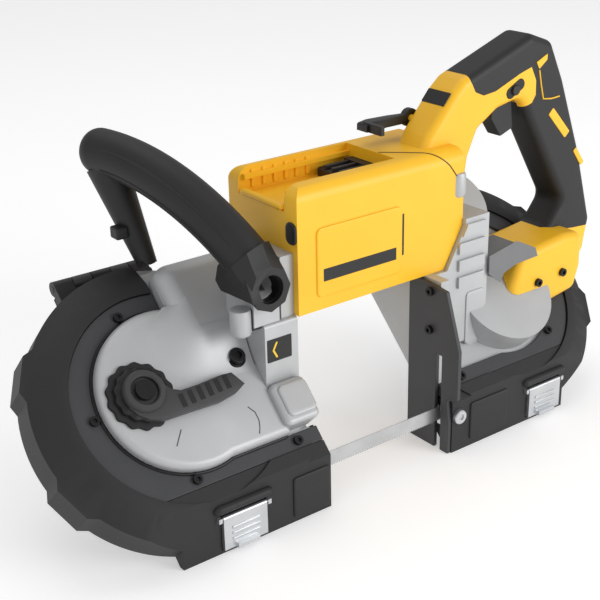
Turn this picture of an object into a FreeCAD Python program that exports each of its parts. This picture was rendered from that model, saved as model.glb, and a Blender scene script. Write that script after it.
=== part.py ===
import FreeCAD, Part
import math
import os

# Portable band saw with a battery dock, all lengths in millimetres.
# The deck carries the two wheels and leans back; deck pieces are drawn flat
# as (x along the blade, w up the deck, n out of the deck) and tilted last.

# general
TILT = 45.0
OVERRUN = 40.0
RUN_GAP = 0.3
FIT_GAP = 0.05
SKIN = 4.0
ORIGIN_X = 8.57
ORIGIN_Y = 93.47

# blade loop and wheels
BLADE_WIDTH = 12.7
BLADE_THICK = 0.5
BLADE_W = 34.3
BLADE_N = 13.8
BLADE_STRAIGHT = 2.0
WHEEL_X = 165.25
WHEEL_R = 76.2
WHEEL_WIDTH = 16.0
TYRE_THICK = 3.0
RIM_THICK = 6.0
WEB_THICK = 5.0
HUB_R = 17.0
WEB_HOLE_R = 13.0
WEB_HOLE_RING_R = 43.0
WEB_HOLES = 6
AXLE_R = 7.5
BEARING_R = 14.0
BEARING_WIDTH = 9.0

# deck casting
DECK_BACK = 25.0
DECK_FRONT = 30.0
BACK_N = 0.0
LOBE_W = 120.0
LOBE_R = 115.0
STOP_THICK = 4.0
LOBE_PANEL_OUT = 206.0
LOBE_PANEL_TOP = 62.0
THROAT_HALF = 62.25
THROAT_TOP = 172.0
BRIDGE_TOP = 224.0
CHANNEL_TOP = 203.0
WHEEL_DOOR_R = 82.0
BLADE_WINDOW = 15.0

# rubber bumpers
LIP_R = 86.5
LIP_N = 36.0
BUMP_OUT = 5.2
BUMP_WIDE = 15.0
BUMP_NARROW = 7.0
BUMP_ANGLES = (28.0, -24.0)
FOOT_LEFT = 69.0
FOOT_RIGHT = 241.0
FOOT_WIDE = 20.0
FOOT_LOW = 50.0
FOOT_HIGH = 70.0

# ring flanges
FLANGE_W = 124.0
FLANGE_IN_R = 67.5
FLANGE_N = 34.0
FLANGE_LOW = 47.0
FLANGE_BAND_TOP = 60.0
FLANGE_END_SCREW = 22.0
FLANGE_SCREW_RING_R = 72.0
SCREW_R = 3.8
SCREW_HEIGHT = 3.0
SCREW_SOCKET_R = 1.9
FLANGE_SCREW_ANGLES = {1: (-57.0,), -1: (74.0, -2.0, -77.0)}

# wheel guard doors and latches
DOOR_THICK = 3.0
DOOR_HINGE_W = 244.0
DOOR_TONGUE_IN = 124.0
DOOR_TONGUE_OUT = 209.0
HINGE_BAR_R = 6.0
HINGE_PIN_R = 2.5
HINGE_KNUCKLES = 5
LATCH_WIDTH = 40.0
LATCH_LOW = 4.0
LATCH_HIGH = 27.0
LATCH_THICK = 4.0
LATCH_PIVOT_Z = 31.0
LATCH_PIN_R = 2.0
LATCH_LEFT_X = 151.0
LATCH_RIGHT_X = 179.0
LATCH_POCKET = 1.0
LATCH_EAR = 3.0
GUARD_RIBS = 4
BUMPER_END_LEFT = 15.0
BUMPER_END_RIGHT = 40.0
SLOPE = 10.0
SLOPE_LIP = 8.0
NEAR_SHARE = 0.999
ROUND_END_SHARE = 0.8

# blade tension
TENSION_TRAVEL = 8.0
SLOT_GAP = 0.5
CARRIAGE_HALF_X = 22.0
CARRIAGE_HALF_W = 15.0
CARRIAGE_THICK = 6.0
COVER_R = 66.0
COVER_N = 44.0
COVER_ROUND = 6.0
SHOULDER_OUT = -148.0
SHOULDER_LOW = 146.0
SHOULDER_HIGH = 222.0
SHOULDER_N = 54.0
SHOULDER_ROUND = 15.0
PAD_OUT = -99.0
PAD_LOW = 64.0
PAD_HIGH = 100.0
PAD_N = 50.0
PAD_ROUND = 5.0
RISE_N = 42.0
LEVER_X = -200.0
LEVER_W = 126.0
LEVER_LENGTH = 81.0
LEVER_N = 47.0
LEVER_THICK = 9.0
LEVER_HUB_R = 16.0
LEVER_RING_R = 24.0
LEVER_TEETH = 28
LEVER_SHARES = ((0.998, -0.235), (0.917, -0.089), (0.81, -0.079), (0.554, -0.094), (0.357, -0.094),
                (0.27, -0.052), (0.19, 0.056), (0.118, 0.13), (-0.185, -0.099), (-0.131, -0.191),
                (-0.049, -0.262), (0.074, -0.305), (0.236, -0.306), (0.447, -0.31), (0.686, -0.317),
                (0.883, -0.286))
LEVER_SLOT_START_SHARES = (0.32, -0.194)
LEVER_SLOT_PITCH = 8.1
LEVER_SLOT_WIDE = 4.4
LEVER_SLOT_TALL = 11.0
LEVER_SLOTS = 6
LEVER_BOLT_R = 5.0
SPRING_R = 2.5
SPRING_LENGTH = 22.0

# gear train in the right lobe
PRESSURE = 25.0
TIP_SHARE = 0.8
ROOT_SHARE = 1.15
BACKLASH = 0.45
FINAL_MODULE = 2.0
FINAL_TEETH = 43
FINAL_PINION_TEETH = 13
FIRST_MODULE = 1.5
FIRST_TEETH = 36
FIRST_PINION_TEETH = 14
BEVEL_MODULE = 1.5
BEVEL_TEETH = 36
BEVEL_PINION_TEETH = 12
BEVEL_FACE_SHARE = 0.3
BEVEL_BACK = 3.0
FINAL_FACE = 7.0
FIRST_FACE = 6.0
FIRST_SHAFT_R = 4.0
SECOND_SHAFT_R = 5.0
SMALL_BEARING_R = 9.0
SMALL_BEARING_WIDTH = 5.0
CASE_N = 54.0
CASE_WALL = 4.0
CASE_ROOM = 1.5
CASE_FRONT = 34.0
CASE_SIDE = 136.0
CASE_CORNER = 88.0
CASE_SHOULDER = 190.0
CASE_TOP = 196.0
CASE_RIBS = 4
RIB_IN = 100.0
RIB_OUT = 130.0
RIB_LOW = 135.0
RIB_PITCH = 15.5
RIB_TALL = 10.0
RIB_RISE = 2.5

# motor
MOTOR_Y = 74.0
MOTOR_Z = 195.0
MOTOR_X0 = -10.0
MOTOR_X1 = 55.0
STATOR_R = 24.0
STATOR_BORE_R = 13.2
ROTOR_R = 12.5
ROTOR_SHORT = 2.0
BEVEL_APEX_X = 132.0

# blade guides
GUIDE_X = 71.0
GUIDE_IN = 67.5
GUIDE_OUT = 93.0
ROLLER_R = 3.0
ROLLER_HEIGHT = 10.0
BACKUP_X = 83.0
BACKUP_R = 4.0
BACKUP_WIDTH = 8.0
GUIDE_PIN_R = 1.5
GUIDE_TOP = 60.0
GUIDE_ARM = 6.0
GUIDE_HALF_Y = 6.2
TWIST_STEPS = 3

# work stop and gussets
STOP_FRONT = -9.0
STOP_BACK = 53.0
STOP_HEIGHT = 154.0
STOP_SHARES = ((0.16, 0.0), (1.0, 0.0), (1.0, 1.0), (0.27, 0.97), (0.0, 0.65), (0.0, 0.36),
               (0.2, 0.33), (0.16, 0.2))
STOP_SLOT = 7.0
STOP_SLOT_HEIGHT = 90.0
STOP_SCREW_Y = 26.0
STOP_SCREW_LOW = 110.0
STOP_SCREW_HIGH = 145.0
GUSSET_THICK = 9.0
GUSSET_FRONT = 18.0
LEFT_GUSSET_FRONT = 40.0
LEFT_GUSSET_OUT = -98.0
LEFT_TOWER_OUT = -79.0
LEFT_TOWER_TOP = 205.0
LEFT_TOWER_BACK = 104.0

# motor housing and rear handle, as two half shells
HOUSING_FRONT = 38.0
HOUSING_BACK = 130.0
HOUSING_TOP = 257.0
HOUSING_END = 108.0
HOUSING_ROUND = 12.0
DOCK_END = 45.0
DOCK_FRONT = 54.0
DOCK_BACK = 116.0
DOCK_FLOOR = 236.0
RAIL_LOW = 247.0
RAIL_THICK = 4.0
RAIL_REACH = 4.0
TERMINAL_LENGTH = 9.0
TERMINAL_BLADES = 4
HANDLE_X = 66.0
HANDLE_Z = 92.0
HANDLE_LENGTH = 240.0
HANDLE_HEIGHT = 244.0
HANDLE_HALF = 18.0
HANDLE_SHARES = ((0.0, 0.59), (0.075, 0.713), (0.2, 0.852), (0.24, 0.885), (0.571, 1.0), (0.683, 0.959),
                 (0.758, 0.811), (0.875, 0.52), (0.965, 0.234), (0.94, 0.1), (0.817, 0.016), (0.5, -0.033),
                 (0.417, 0.082), (0.467, 0.221), (0.708, 0.246), (0.785, 0.34), (0.575, 0.69),
                 (0.53, 0.775), (0.417, 0.754), (0.321, 0.697), (0.279, 0.607), (0.262, 0.492),
                 (0.175, 0.463), (0.0, 0.463))
HANDLE_CORNER = 10.0
HANDLE_EDGE = 8.0
FOOT_FRONT = 32.0
FOOT_SHARES = ((0.5, -0.033), (0.78, 0.01), (0.81, 0.1), (0.81, 0.238), (0.708, 0.246), (0.467, 0.221),
               (0.417, 0.082))
FOOT_SCREW_SHARES = ((0.558, 0.094), (0.692, 0.102))
GRIP_SKIN = 5.0
GRIP_SHARES = ((0.25, 1.05), (0.271, 0.873), (0.292, 0.836), (0.333, 0.818), (0.392, 0.824), (0.517, 0.869),
               (0.571, 0.883), (0.598, 0.832), (0.6, 0.779), (0.583, 0.754), (0.517, 0.723), (0.5, 0.697),
               (0.5, 0.5), (0.66, 0.28), (0.708, 0.235), (0.86, 0.215), (1.05, 0.2), (1.05, 1.05))
TRIGGER_PLACE_SHARES = (0.4167, 0.6393)
TRIGGER_LENGTH = 28.0
TRIGGER_HEIGHT = 36.0
TRIGGER_HALF = 8.0
TRIGGER_TRAVEL = 7.0
TRIGGER_SHARES = ((0.08, 1.0), (0.86, 1.0), (1.0, 0.15), (0.45, 0.0), (0.0, 0.5))
LOCK_PLACE_SHARE = 0.4875
LOCK_GAP = 2.1
LOCK_R = 4.5
LOCK_OUT = 3.0
LOCK_TRAVEL = 4.0
SWITCH_GAP = 4.0
SWITCH_LENGTH = 24.0
SWITCH_TALL = 15.0
SWITCH_HALF = 11.0
HOOK_RISE = 17.0
HOOK_IN = 6.6
HOOK_REACH = 49.0
HOOK_R = 8.0
HOOK_THICK = 6.0
HOOK_PIN_R = 3.0

# front handle
TUBE_R = 18.5
LEG_R = 8.0
LEG_TOP_R = 16.5
TUBE_BORE_R = 11.5
TUBE_BORE_DEPTH = 22.0
SLEEVE_R = 21.4
SLEEVE_LENGTH = 30.0
SLEEVE_SIDES = 8
MOUTH_X = -97.0
MOUTH_Y = 31.0
MOUTH_Z = 187.2
MOUTH_R = 18.4
WEDGE_OUT = -117.0
WEDGE_IN = -92.0
WEDGE_Y = 26.0
WEDGE_Z = 179.5
WEDGE_REACH = 51.0
WEDGE_RISE = 34.5
WEDGE_SHARES = ((0.0, 0.072), (0.863, 0.0), (1.0, 0.188), (0.922, 0.565), (0.627, 1.0), (0.196, 0.536))
BRACKET_OUT = -106.0
BRACKET_IN = -82.0
BRACKET_FRONT = 42.0
BRACKET_BACK = 80.0
TUBE_X = -95.0
TUBE_Y = 34.8
TUBE_Z = 185.5
TUBE_SIDE = -63.5
TUBE_REACH = 158.2
TUBE_RISE = 88.0
TUBE_SHARES = ((0.0, 0.0, 0.0), (0.277, 0.279, 0.508), (0.5, 0.507, 0.776), (0.692, 0.709, 0.923),
               (1.0, 1.0, 1.0))
LEG_TOP_SHARES = (0.877, 0.892, 0.88)
LEG_FOOT_SHARES = (0.682, 0.684, -0.016)

# sizes that follow from the ones above
TRIGGER_X = HANDLE_X + TRIGGER_PLACE_SHARES[0] * HANDLE_LENGTH
TRIGGER_Z = HANDLE_Z + TRIGGER_PLACE_SHARES[1] * HANDLE_HEIGHT
LOCK_X = HANDLE_X + LOCK_PLACE_SHARE * HANDLE_LENGTH
LOCK_Z = TRIGGER_Z + TRIGGER_HEIGHT + LOCK_GAP + LOCK_R
SWITCH_X = LOCK_X - LOCK_R - SWITCH_GAP - SWITCH_LENGTH
SWITCH_Z = TRIGGER_Z + TRIGGER_HEIGHT + SWITCH_GAP
HOOK_Z = HOUSING_TOP + HOOK_RISE
LOBE_PANEL_IN = THROAT_HALF + STOP_THICK
PAD_IN = -LOBE_PANEL_IN
WHEEL_W = BLADE_W + BLADE_THICK / 2 + RUN_GAP + WHEEL_R
RETURN_W = WHEEL_W + WHEEL_R + RUN_GAP + BLADE_THICK / 2
LEAN = math.sin(math.radians(TILT))
STAND = math.cos(math.radians(TILT))
BLADE_Y = BLADE_W * STAND - BLADE_N * LEAN
BLADE_Z = BLADE_W * LEAN + BLADE_N * STAND
FAR = 3 * LOBE_R
DOOR_FRONT = BACK_N - SKIN - RUN_GAP
DOOR_BACK = DOOR_FRONT - DOOR_THICK
HINGE_N = DOOR_BACK + HINGE_BAR_R


def vec(x, y, z):
    return FreeCAD.Vector(x, y, z)


def box(x0, x1, y0, y1, z0, z1):
    return Part.makeBox(x1 - x0, y1 - y0, z1 - z0, vec(x0, y0, z0))


def disc(x, y, radius, z0, z1):
    return Part.makeCylinder(radius, z1 - z0, vec(x, y, z0))


def rod(start, end, radius):
    axis = end - start
    return Part.makeCylinder(radius, axis.Length, start, axis)


def ring(x, y, inner, outer, z0, z1):
    return disc(x, y, outer, z0, z1).cut(disc(x, y, inner, z0, z1))


def slab(points, z0, z1):
    """Flat outline in x and y raised from z0 to z1."""
    corners = [vec(p[0], p[1], z0) for p in points]
    wire = Part.makePolygon(corners + corners[:1])
    return Part.Face(wire).extrude(vec(0, 0, z1 - z0))


def wall(points, y0, y1):
    """Upright outline in x and z carried from y0 to y1."""
    corners = [vec(p[0], y0, p[1]) for p in points]
    wire = Part.makePolygon(corners + corners[:1])
    return Part.Face(wire).extrude(vec(0, y1 - y0, 0))


def side_plate(points, x0, x1):
    """Upright outline in y and z carried from x0 to x1."""
    corners = [vec(x0, p[0], p[1]) for p in points]
    wire = Part.makePolygon(corners + corners[:1])
    return Part.Face(wire).extrude(vec(x1 - x0, 0, 0))


def spread(shares, start, size):
    """Outline points from shares of a size, counted from a start corner."""
    return [(start[0] + s[0] * size[0], start[1] + s[1] * size[1]) for s in shares]


def inset_outline(points, gap):
    """Clockwise outline with each of its sides moved in by the gap."""
    lines = []
    for a, b in zip(points, points[1:] + points[:1]):
        share = gap / math.dist(a, b)
        across, up = b[0] - a[0], b[1] - a[1]
        lines.append(((a[0] + up * share, a[1] - across * share), (across, up)))
    made = []
    for (p, u), (q, v) in zip(lines[-1:] + lines[:-1], lines):
        t = ((q[0] - p[0]) * v[1] - (q[1] - p[1]) * v[0]) / (u[0] * v[1] - u[1] * v[0])
        made.append((p[0] + u[0] * t, p[1] + u[1] * t))
    return made


def soften(shape, radius, pick):
    """Round the edges that the pick function chooses."""
    edges = [e for e in shape.Edges if pick(e)]
    return shape.makeFillet(radius, edges) if edges else shape


def along(axis):
    """Pick straight edges that run along an axis."""
    def pick(edge):
        if edge.Curve.TypeId != "Part::GeomLine":
            return False
        return abs(edge.tangentAt(edge.FirstParameter).dot(axis)) > NEAR_SHARE
    return pick


def fuse(*shapes):
    return shapes[0].multiFuse(list(shapes[1:])).removeSplitter()


def cut(shape, *tools):
    for tool in tools:
        shape = shape.cut(tool)
    return shape


def largest(shape):
    return sorted(shape.Solids, key=lambda solid: solid.Volume)[-1]


def tilt(shape):
    turned = shape.copy()
    turned.rotate(vec(0, 0, 0), vec(1, 0, 0), TILT)
    return turned


def deck_point(x, w, n):
    return vec(x, w * STAND - n * LEAN, w * LEAN + n * STAND)


def on_side(shape, side):
    return shape if side > 0 else shape.mirror(vec(0, 0, 0), vec(1, 0, 0))


def polar(x, y, radius, angle):
    turn = math.radians(angle)
    return x + radius * math.cos(turn), y + radius * math.sin(turn)


def lobe(inset, back, front):
    """Tilted volume of the right lobe with its walls moved in by the inset."""
    body = fuse(disc(WHEEL_X, LOBE_W, LOBE_R - inset, back, front),
                box(LOBE_PANEL_IN, LOBE_PANEL_OUT - inset, -LOBE_W, LOBE_PANEL_TOP, back, front))
    room = box(LOBE_PANEL_IN + inset, FAR, inset, FAR, inset, FAR)
    return tilt(body).common(room)


def slope(inset):
    """What the sloped band round the front of a lobe takes away, moved in by the inset."""
    low = LIP_N - SLOPE
    keep = Part.makeCone(LOBE_R - inset, LIP_R + SLOPE_LIP - inset, SLOPE, vec(WHEEL_X, LOBE_W, low),
                         vec(0, 0, 1))
    band = disc(WHEEL_X, LOBE_W, FAR, low, LIP_N).cut(keep)
    return tilt(band.cut(box(0, LOBE_PANEL_OUT, -FAR, LOBE_PANEL_TOP, 0, FAR)))


def blade_window():
    reach = BLADE_WINDOW
    return box(THROAT_HALF, LOBE_PANEL_IN + OVERRUN, SKIN + SKIN, BLADE_Y + reach,
               BLADE_Z - reach, BLADE_Z + reach)


def bridge():
    """Bar of the casting that joins the two lobes above the throat."""
    deck = box(-WHEEL_X, WHEEL_X, THROAT_TOP, BRIDGE_TOP, DECK_BACK, DECK_FRONT)
    channel = box(-WHEEL_X, WHEEL_X, THROAT_TOP, CHANNEL_TOP, BACK_N, DECK_BACK)
    return tilt(fuse(deck, channel))


def frame_casting():
    body = bridge()
    for side in (1, -1):
        body = body.fuse(on_side(lobe(SKIN, BACK_N, DECK_FRONT).cut(slope(SKIN)), side))
    for side in (1, -1):
        wheel_room = lobe(SKIN + SKIN, BACK_N + SKIN, DECK_BACK)
        door_hole = tilt(disc(WHEEL_X, WHEEL_W, WHEEL_DOOR_R - SKIN, -OVERRUN, BACK_N + SKIN))
        body = cut(body, on_side(wheel_room, side), on_side(door_hole, side),
                   on_side(blade_window(), side))
    inside = box(-WHEEL_X, WHEEL_X, THROAT_TOP + SKIN, CHANNEL_TOP - SKIN, BACK_N + SKIN, DECK_BACK)
    slot = box(-THROAT_HALF, THROAT_HALF, THROAT_TOP + SKIN, CHANNEL_TOP - SKIN, -OVERRUN, DECK_BACK)
    body = cut(body, tilt(inside), tilt(slot))
    for hole in (axle_hole(1), axle_hole(-1)):
        body = body.cut(hole)
    for x, w in (FIRST_AXIS, SECOND_AXIS):
        boss = ring(x, w, SMALL_BEARING_R, SMALL_BEARING_R + CASE_WALL / 2, DECK_FRONT,
                    DECK_FRONT + SMALL_BEARING_WIDTH)
        body = body.fuse(tilt(boss))
    return body.removeSplitter()


def axle_hole(side):
    """Round seat for the drive bearing, or a slot for the sliding idler axle."""
    if side > 0:
        return tilt(disc(WHEEL_X, WHEEL_W, BEARING_R, DECK_BACK - OVERRUN, DECK_FRONT + OVERRUN))
    half = AXLE_R + SLOT_GAP
    return tilt(box(-WHEEL_X - half, -WHEEL_X + half + TENSION_TRAVEL, WHEEL_W - half, WHEEL_W + half,
                    DECK_BACK - SKIN, DECK_FRONT + SKIN))


def return_run_cover():
    plate = box(-LOBE_PANEL_IN, LOBE_PANEL_IN, THROAT_TOP, CHANNEL_TOP, BACK_N - SKIN, BACK_N)
    return tilt(plate)


def bumper(side):
    outer = lobe(0, BACK_N - SKIN, DECK_FRONT)
    lip = ring(WHEEL_X, LOBE_W, LIP_R, LOBE_R, DECK_FRONT, LIP_N)
    band = box(LOBE_PANEL_IN, WHEEL_X, 0, LOBE_PANEL_TOP, DECK_FRONT, FLANGE_N)
    foot_of_lip = disc(WHEEL_X, LOBE_W, LIP_R, DECK_FRONT, FLANGE_N)
    band = fuse(band, foot_of_lip.common(box(WHEEL_X, FAR, 0, FLANGE_LOW, DECK_FRONT, FLANGE_N)))
    lugs = fuse(*[bump(angle) for angle in BUMP_ANGLES])
    room = box(LOBE_PANEL_IN, FAR, 0, FAR, 0, FAR)
    body = outer.fuse(tilt(lip.fuse(band)).common(room)).cut(slope(0))
    body = body.fuse(tilt(lugs).common(room))
    body = body.cut(lobe(SKIN, -FAR, DECK_FRONT).cut(slope(SKIN)))
    end = BUMPER_END_LEFT if side < 0 else BUMPER_END_RIGHT
    silver = box(0, WHEEL_X - end, LOBE_PANEL_TOP, FAR, -FAR, FAR)
    body = cut(body, tilt(silver), blade_window())
    x = FOOT_LEFT if side < 0 else FOOT_RIGHT
    foot = tilt(box(x, x + FOOT_WIDE, FOOT_LOW, FOOT_HIGH, -FOOT_HIGH, BACK_N)).common(room)
    body = body.fuse(foot.cut(lobe(SKIN, -FAR, DECK_FRONT)))
    body = cut(body, tilt(flange_outline(0, DECK_FRONT, FAR)), bridge())
    if side > 0:
        body = cut(body, below_case(), right_gusset())
    return on_side(cut(body, latch_room(latch_x(side))).removeSplitter(), side)


def bump(angle):
    """Angular knuckle that stands out of the bumper's rim."""
    low, high = LOBE_R - BUMP_OUT, LOBE_R + BUMP_OUT
    corners = ((low, -BUMP_WIDE), (high, -BUMP_NARROW), (high, BUMP_NARROW), (low, BUMP_WIDE))
    points = [polar(WHEEL_X, LOBE_W, radius, angle + turn) for radius, turn in corners]
    return slab(points, BACK_N - SKIN, LIP_N - SLOPE)


def latch_x(side):
    return LATCH_LEFT_X if side < 0 else LATCH_RIGHT_X


def latch_room(x):
    """Shallow pocket of the front panel behind a latch."""
    half = LATCH_WIDTH / 2 + LATCH_POCKET
    return box(x - half, x + half, -OVERRUN, LATCH_POCKET, LATCH_LOW - LATCH_POCKET,
               LATCH_PIVOT_Z + LATCH_PIN_R + LATCH_POCKET + LATCH_POCKET)


def flange_outline(inset, n0, n1):
    """Room of a ring flange: a disc that runs on as a straight band to the throat."""
    low = FLANGE_LOW + inset
    body = fuse(disc(WHEEL_X, LOBE_W, LIP_R - inset, n0, n1),
                box(LOBE_PANEL_IN, WHEEL_X, low, FLANGE_W, n0, n1))
    return body.common(box(LOBE_PANEL_IN, FAR, low, FAR, n0, n1))


def ring_flange(side):
    start = LOBE_PANEL_IN if side < 0 else LOBE_PANEL_IN + GUSSET_THICK + RUN_GAP
    hole = fuse(disc(WHEEL_X, FLANGE_W, FLANGE_IN_R, DECK_FRONT, FLANGE_N),
                box(0, WHEEL_X, FLANGE_BAND_TOP, FLANGE_W, DECK_FRONT, FLANGE_N))
    body = flange_outline(RUN_GAP, DECK_FRONT, FLANGE_N).cut(hole)
    body = on_side(body.common(box(start, FAR, 0, FAR, DECK_FRONT, FLANGE_N)), side)
    if side > 0:
        return tilt(largest(body.cut(case_outline(RUN_GAP, DECK_FRONT))))
    return tilt(largest(body.cut(box(SHOULDER_OUT - RUN_GAP, 0, PAD_HIGH - COVER_ROUND, FAR, 0, FAR))))


def cap_screw(spot, outward):
    """Socket head that stands on a face, facing outward."""
    head = Part.makeCylinder(SCREW_R, SCREW_HEIGHT, spot, outward)
    return head.cut(Part.makeCylinder(SCREW_SOCKET_R, OVERRUN, spot + outward * (SCREW_HEIGHT / 2), outward))


def flange_screws():
    screws = []
    for side in (1, -1):
        for angle in FLANGE_SCREW_ANGLES[side]:
            x, w = polar(WHEEL_X, FLANGE_W, FLANGE_SCREW_RING_R, angle)
            screws.append(tilt(cap_screw(vec(side * x, w, FLANGE_N), vec(0, 0, 1))))
        end = vec(side * (LOBE_PANEL_IN + FLANGE_END_SCREW), (FLANGE_LOW + FLANGE_BAND_TOP) / 2, FLANGE_N)
        screws.append(tilt(cap_screw(end, vec(0, 0, 1))))
    return screws


def knuckle(first, share):
    """Hinge knuckles of one bar; the first index picks its own or the door's."""
    step = (DOOR_TONGUE_OUT - DOOR_TONGUE_IN) / HINGE_KNUCKLES
    parts = []
    for i in range(first, HINGE_KNUCKLES, 2):
        x0 = DOOR_TONGUE_IN + i * step + RUN_GAP
        x1 = x0 + step - RUN_GAP - RUN_GAP
        bar = Part.makeCylinder(HINGE_BAR_R, x1 - x0, vec(x0, DOOR_HINGE_W, HINGE_N), vec(1, 0, 0))
        parts.append(bar.fuse(share(x0, x1)))
    return parts


def hinge_bar(side):
    def web(x0, x1):
        return box(x0, x1, LOBE_W, DOOR_HINGE_W, HINGE_N - HINGE_BAR_R / 2, HINGE_N + HINGE_BAR_R)
    bars = knuckle(0, web)
    rail = box(DOOR_TONGUE_IN, DOOR_TONGUE_OUT, LOBE_W, DOOR_HINGE_W - HINGE_BAR_R - RUN_GAP,
               BACK_N - SKIN + RUN_GAP, BACK_N + HINGE_BAR_R)
    body = tilt(fuse(rail, *bars))
    body = body.cut(lobe(0, -FAR, FAR))
    back = box(0, FAR, -FAR, DOOR_HINGE_W - HINGE_BAR_R - RUN_GAP, -FAR, BACK_N - SKIN + RUN_GAP)
    body = body.cut(tilt(back))
    return on_side(body.cut(hinge_bore()), side)


def hinge_bore():
    return tilt(Part.makeCylinder(HINGE_PIN_R + FIT_GAP, FAR, vec(0, DOOR_HINGE_W, HINGE_N), vec(1, 0, 0)))


def wheel_guard(side):
    def finger(x0, x1):
        return box(x0, x1, DOOR_HINGE_W - HINGE_BAR_R - HINGE_BAR_R, DOOR_HINGE_W, DOOR_BACK, DOOR_FRONT)
    low = DOOR_HINGE_W - HINGE_BAR_R - RUN_GAP - RUN_GAP
    plate = fuse(disc(WHEEL_X, WHEEL_W, WHEEL_DOOR_R, DOOR_BACK, DOOR_FRONT),
                 box(DOOR_TONGUE_IN, DOOR_TONGUE_OUT, WHEEL_W, low, DOOR_BACK, DOOR_FRONT))
    for i in range(GUARD_RIBS):
        w = WHEEL_W - WHEEL_DOOR_R / 2 + i * WHEEL_DOOR_R / GUARD_RIBS
        rib = box(WHEEL_X - WHEEL_DOOR_R / 2, WHEEL_X + WHEEL_DOOR_R / 2, w, w + DOOR_THICK,
                  DOOR_BACK - DOOR_THICK / 2, DOOR_BACK)
        plate = plate.fuse(rib)
    body = fuse(plate, *knuckle(1, finger))
    return on_side(tilt(body).cut(hinge_bore()), side)


def guard_hinge_pins():
    pins = []
    for side in (1, -1):
        pin = Part.makeCylinder(HINGE_PIN_R, DOOR_TONGUE_OUT - DOOR_TONGUE_IN,
                                vec(DOOR_TONGUE_IN, DOOR_HINGE_W, HINGE_N), vec(1, 0, 0))
        pins.append(tilt(on_side(pin, side)))
    return Part.makeCompound(pins)


def latch_mounts():
    """Ears on the front panel that carry the latch pins."""
    parts = []
    for side in (-1, 1):
        x = latch_x(side)
        half = LATCH_WIDTH / 2 + LATCH_POCKET
        pivot_y = LATCH_POCKET - RUN_GAP - LATCH_THICK / 2
        low = LATCH_PIVOT_Z - LATCH_PIN_R
        body = rod(vec(x - half - LATCH_EAR, pivot_y, LATCH_PIVOT_Z),
                   vec(x + half + LATCH_EAR, pivot_y, LATCH_PIVOT_Z), LATCH_PIN_R / 2)
        for x0 in (x - half - LATCH_EAR, x + half):
            ear = box(x0, x0 + LATCH_EAR, pivot_y - LATCH_PIN_R, 0, low, LATCH_PIVOT_Z + LATCH_PIN_R)
            body = body.fuse(ear)
        parts.append(on_side(body, side))
    return Part.makeCompound(parts)


def latch(side):
    x = latch_x(side)
    half = LATCH_WIDTH / 2
    plate = box(x - half, x + half, LATCH_POCKET - RUN_GAP - LATCH_THICK, LATCH_POCKET - RUN_GAP,
                LATCH_LOW, LATCH_PIVOT_Z)
    grip = box(x - half / 2, x + half / 2,
               LATCH_POCKET - LATCH_THICK - LATCH_THICK, LATCH_POCKET - LATCH_THICK,
               LATCH_LOW, LATCH_LOW + LATCH_THICK)
    pivot_y = LATCH_POCKET - RUN_GAP - LATCH_THICK / 2
    bore = Part.makeCylinder(LATCH_PIN_R / 2 + FIT_GAP, FAR, vec(0, pivot_y, LATCH_PIVOT_Z), vec(1, 0, 0))
    eye = Part.makeCylinder(LATCH_PIN_R, LATCH_WIDTH, vec(x - half, pivot_y, LATCH_PIVOT_Z), vec(1, 0, 0))
    return on_side(fuse(plate, grip, eye).cut(bore), side)


MOTOR_W = MOTOR_Y * STAND + MOTOR_Z * LEAN
MOTOR_N = MOTOR_Z * STAND - MOTOR_Y * LEAN
FIRST_AXIS = (BEVEL_APEX_X, MOTOR_W)
DRIVE_AXIS = (WHEEL_X, WHEEL_W)
FIRST_CENTRES = FIRST_MODULE * (FIRST_TEETH + FIRST_PINION_TEETH) / 2
FINAL_CENTRES = FINAL_MODULE * (FINAL_TEETH + FINAL_PINION_TEETH) / 2
FINAL_N = DECK_BACK + BEARING_WIDTH + CASE_ROOM
FIRST_N = FINAL_N + FINAL_FACE + CASE_ROOM
BEVEL_R = BEVEL_MODULE * BEVEL_TEETH / 2
BEVEL_PINION_R = BEVEL_MODULE * BEVEL_PINION_TEETH / 2


def second_axis():
    """Where the middle shaft meets both of its gear centre distances."""
    dx = DRIVE_AXIS[0] - FIRST_AXIS[0]
    dw = DRIVE_AXIS[1] - FIRST_AXIS[1]
    span = math.hypot(dx, dw)
    reach = (FIRST_CENTRES ** 2 - FINAL_CENTRES ** 2 + span ** 2) / (2 * span)
    rise = math.sqrt(FIRST_CENTRES ** 2 - reach ** 2)
    return (FIRST_AXIS[0] + (dx * reach + dw * rise) / span,
            FIRST_AXIS[1] + (dw * reach - dx * rise) / span)


SECOND_AXIS = second_axis()


def bearing_angle(start, end):
    return math.degrees(math.atan2(end[1] - start[1], end[0] - start[0]))


def tooth_half(radius, teeth, module):
    """Half of a tooth's angle at a radius, on an involute flank with backlash."""
    pitch_r = module * teeth / 2
    base_r = pitch_r * math.cos(math.radians(PRESSURE))
    turn = math.acos(min(1.0, base_r / max(radius, base_r)))
    lead = math.radians(PRESSURE)
    rolled = (math.tan(lead) - lead) - (math.tan(turn) - turn)
    return math.pi / teeth / 2 - BACKLASH / 4 / pitch_r + rolled


def tooth_radii(teeth, module):
    pitch_r = module * teeth / 2
    low = pitch_r - ROOT_SHARE * module
    base_r = max(pitch_r * math.cos(math.radians(PRESSURE)), low)
    return low, base_r, pitch_r, pitch_r + TIP_SHARE * module


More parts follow.
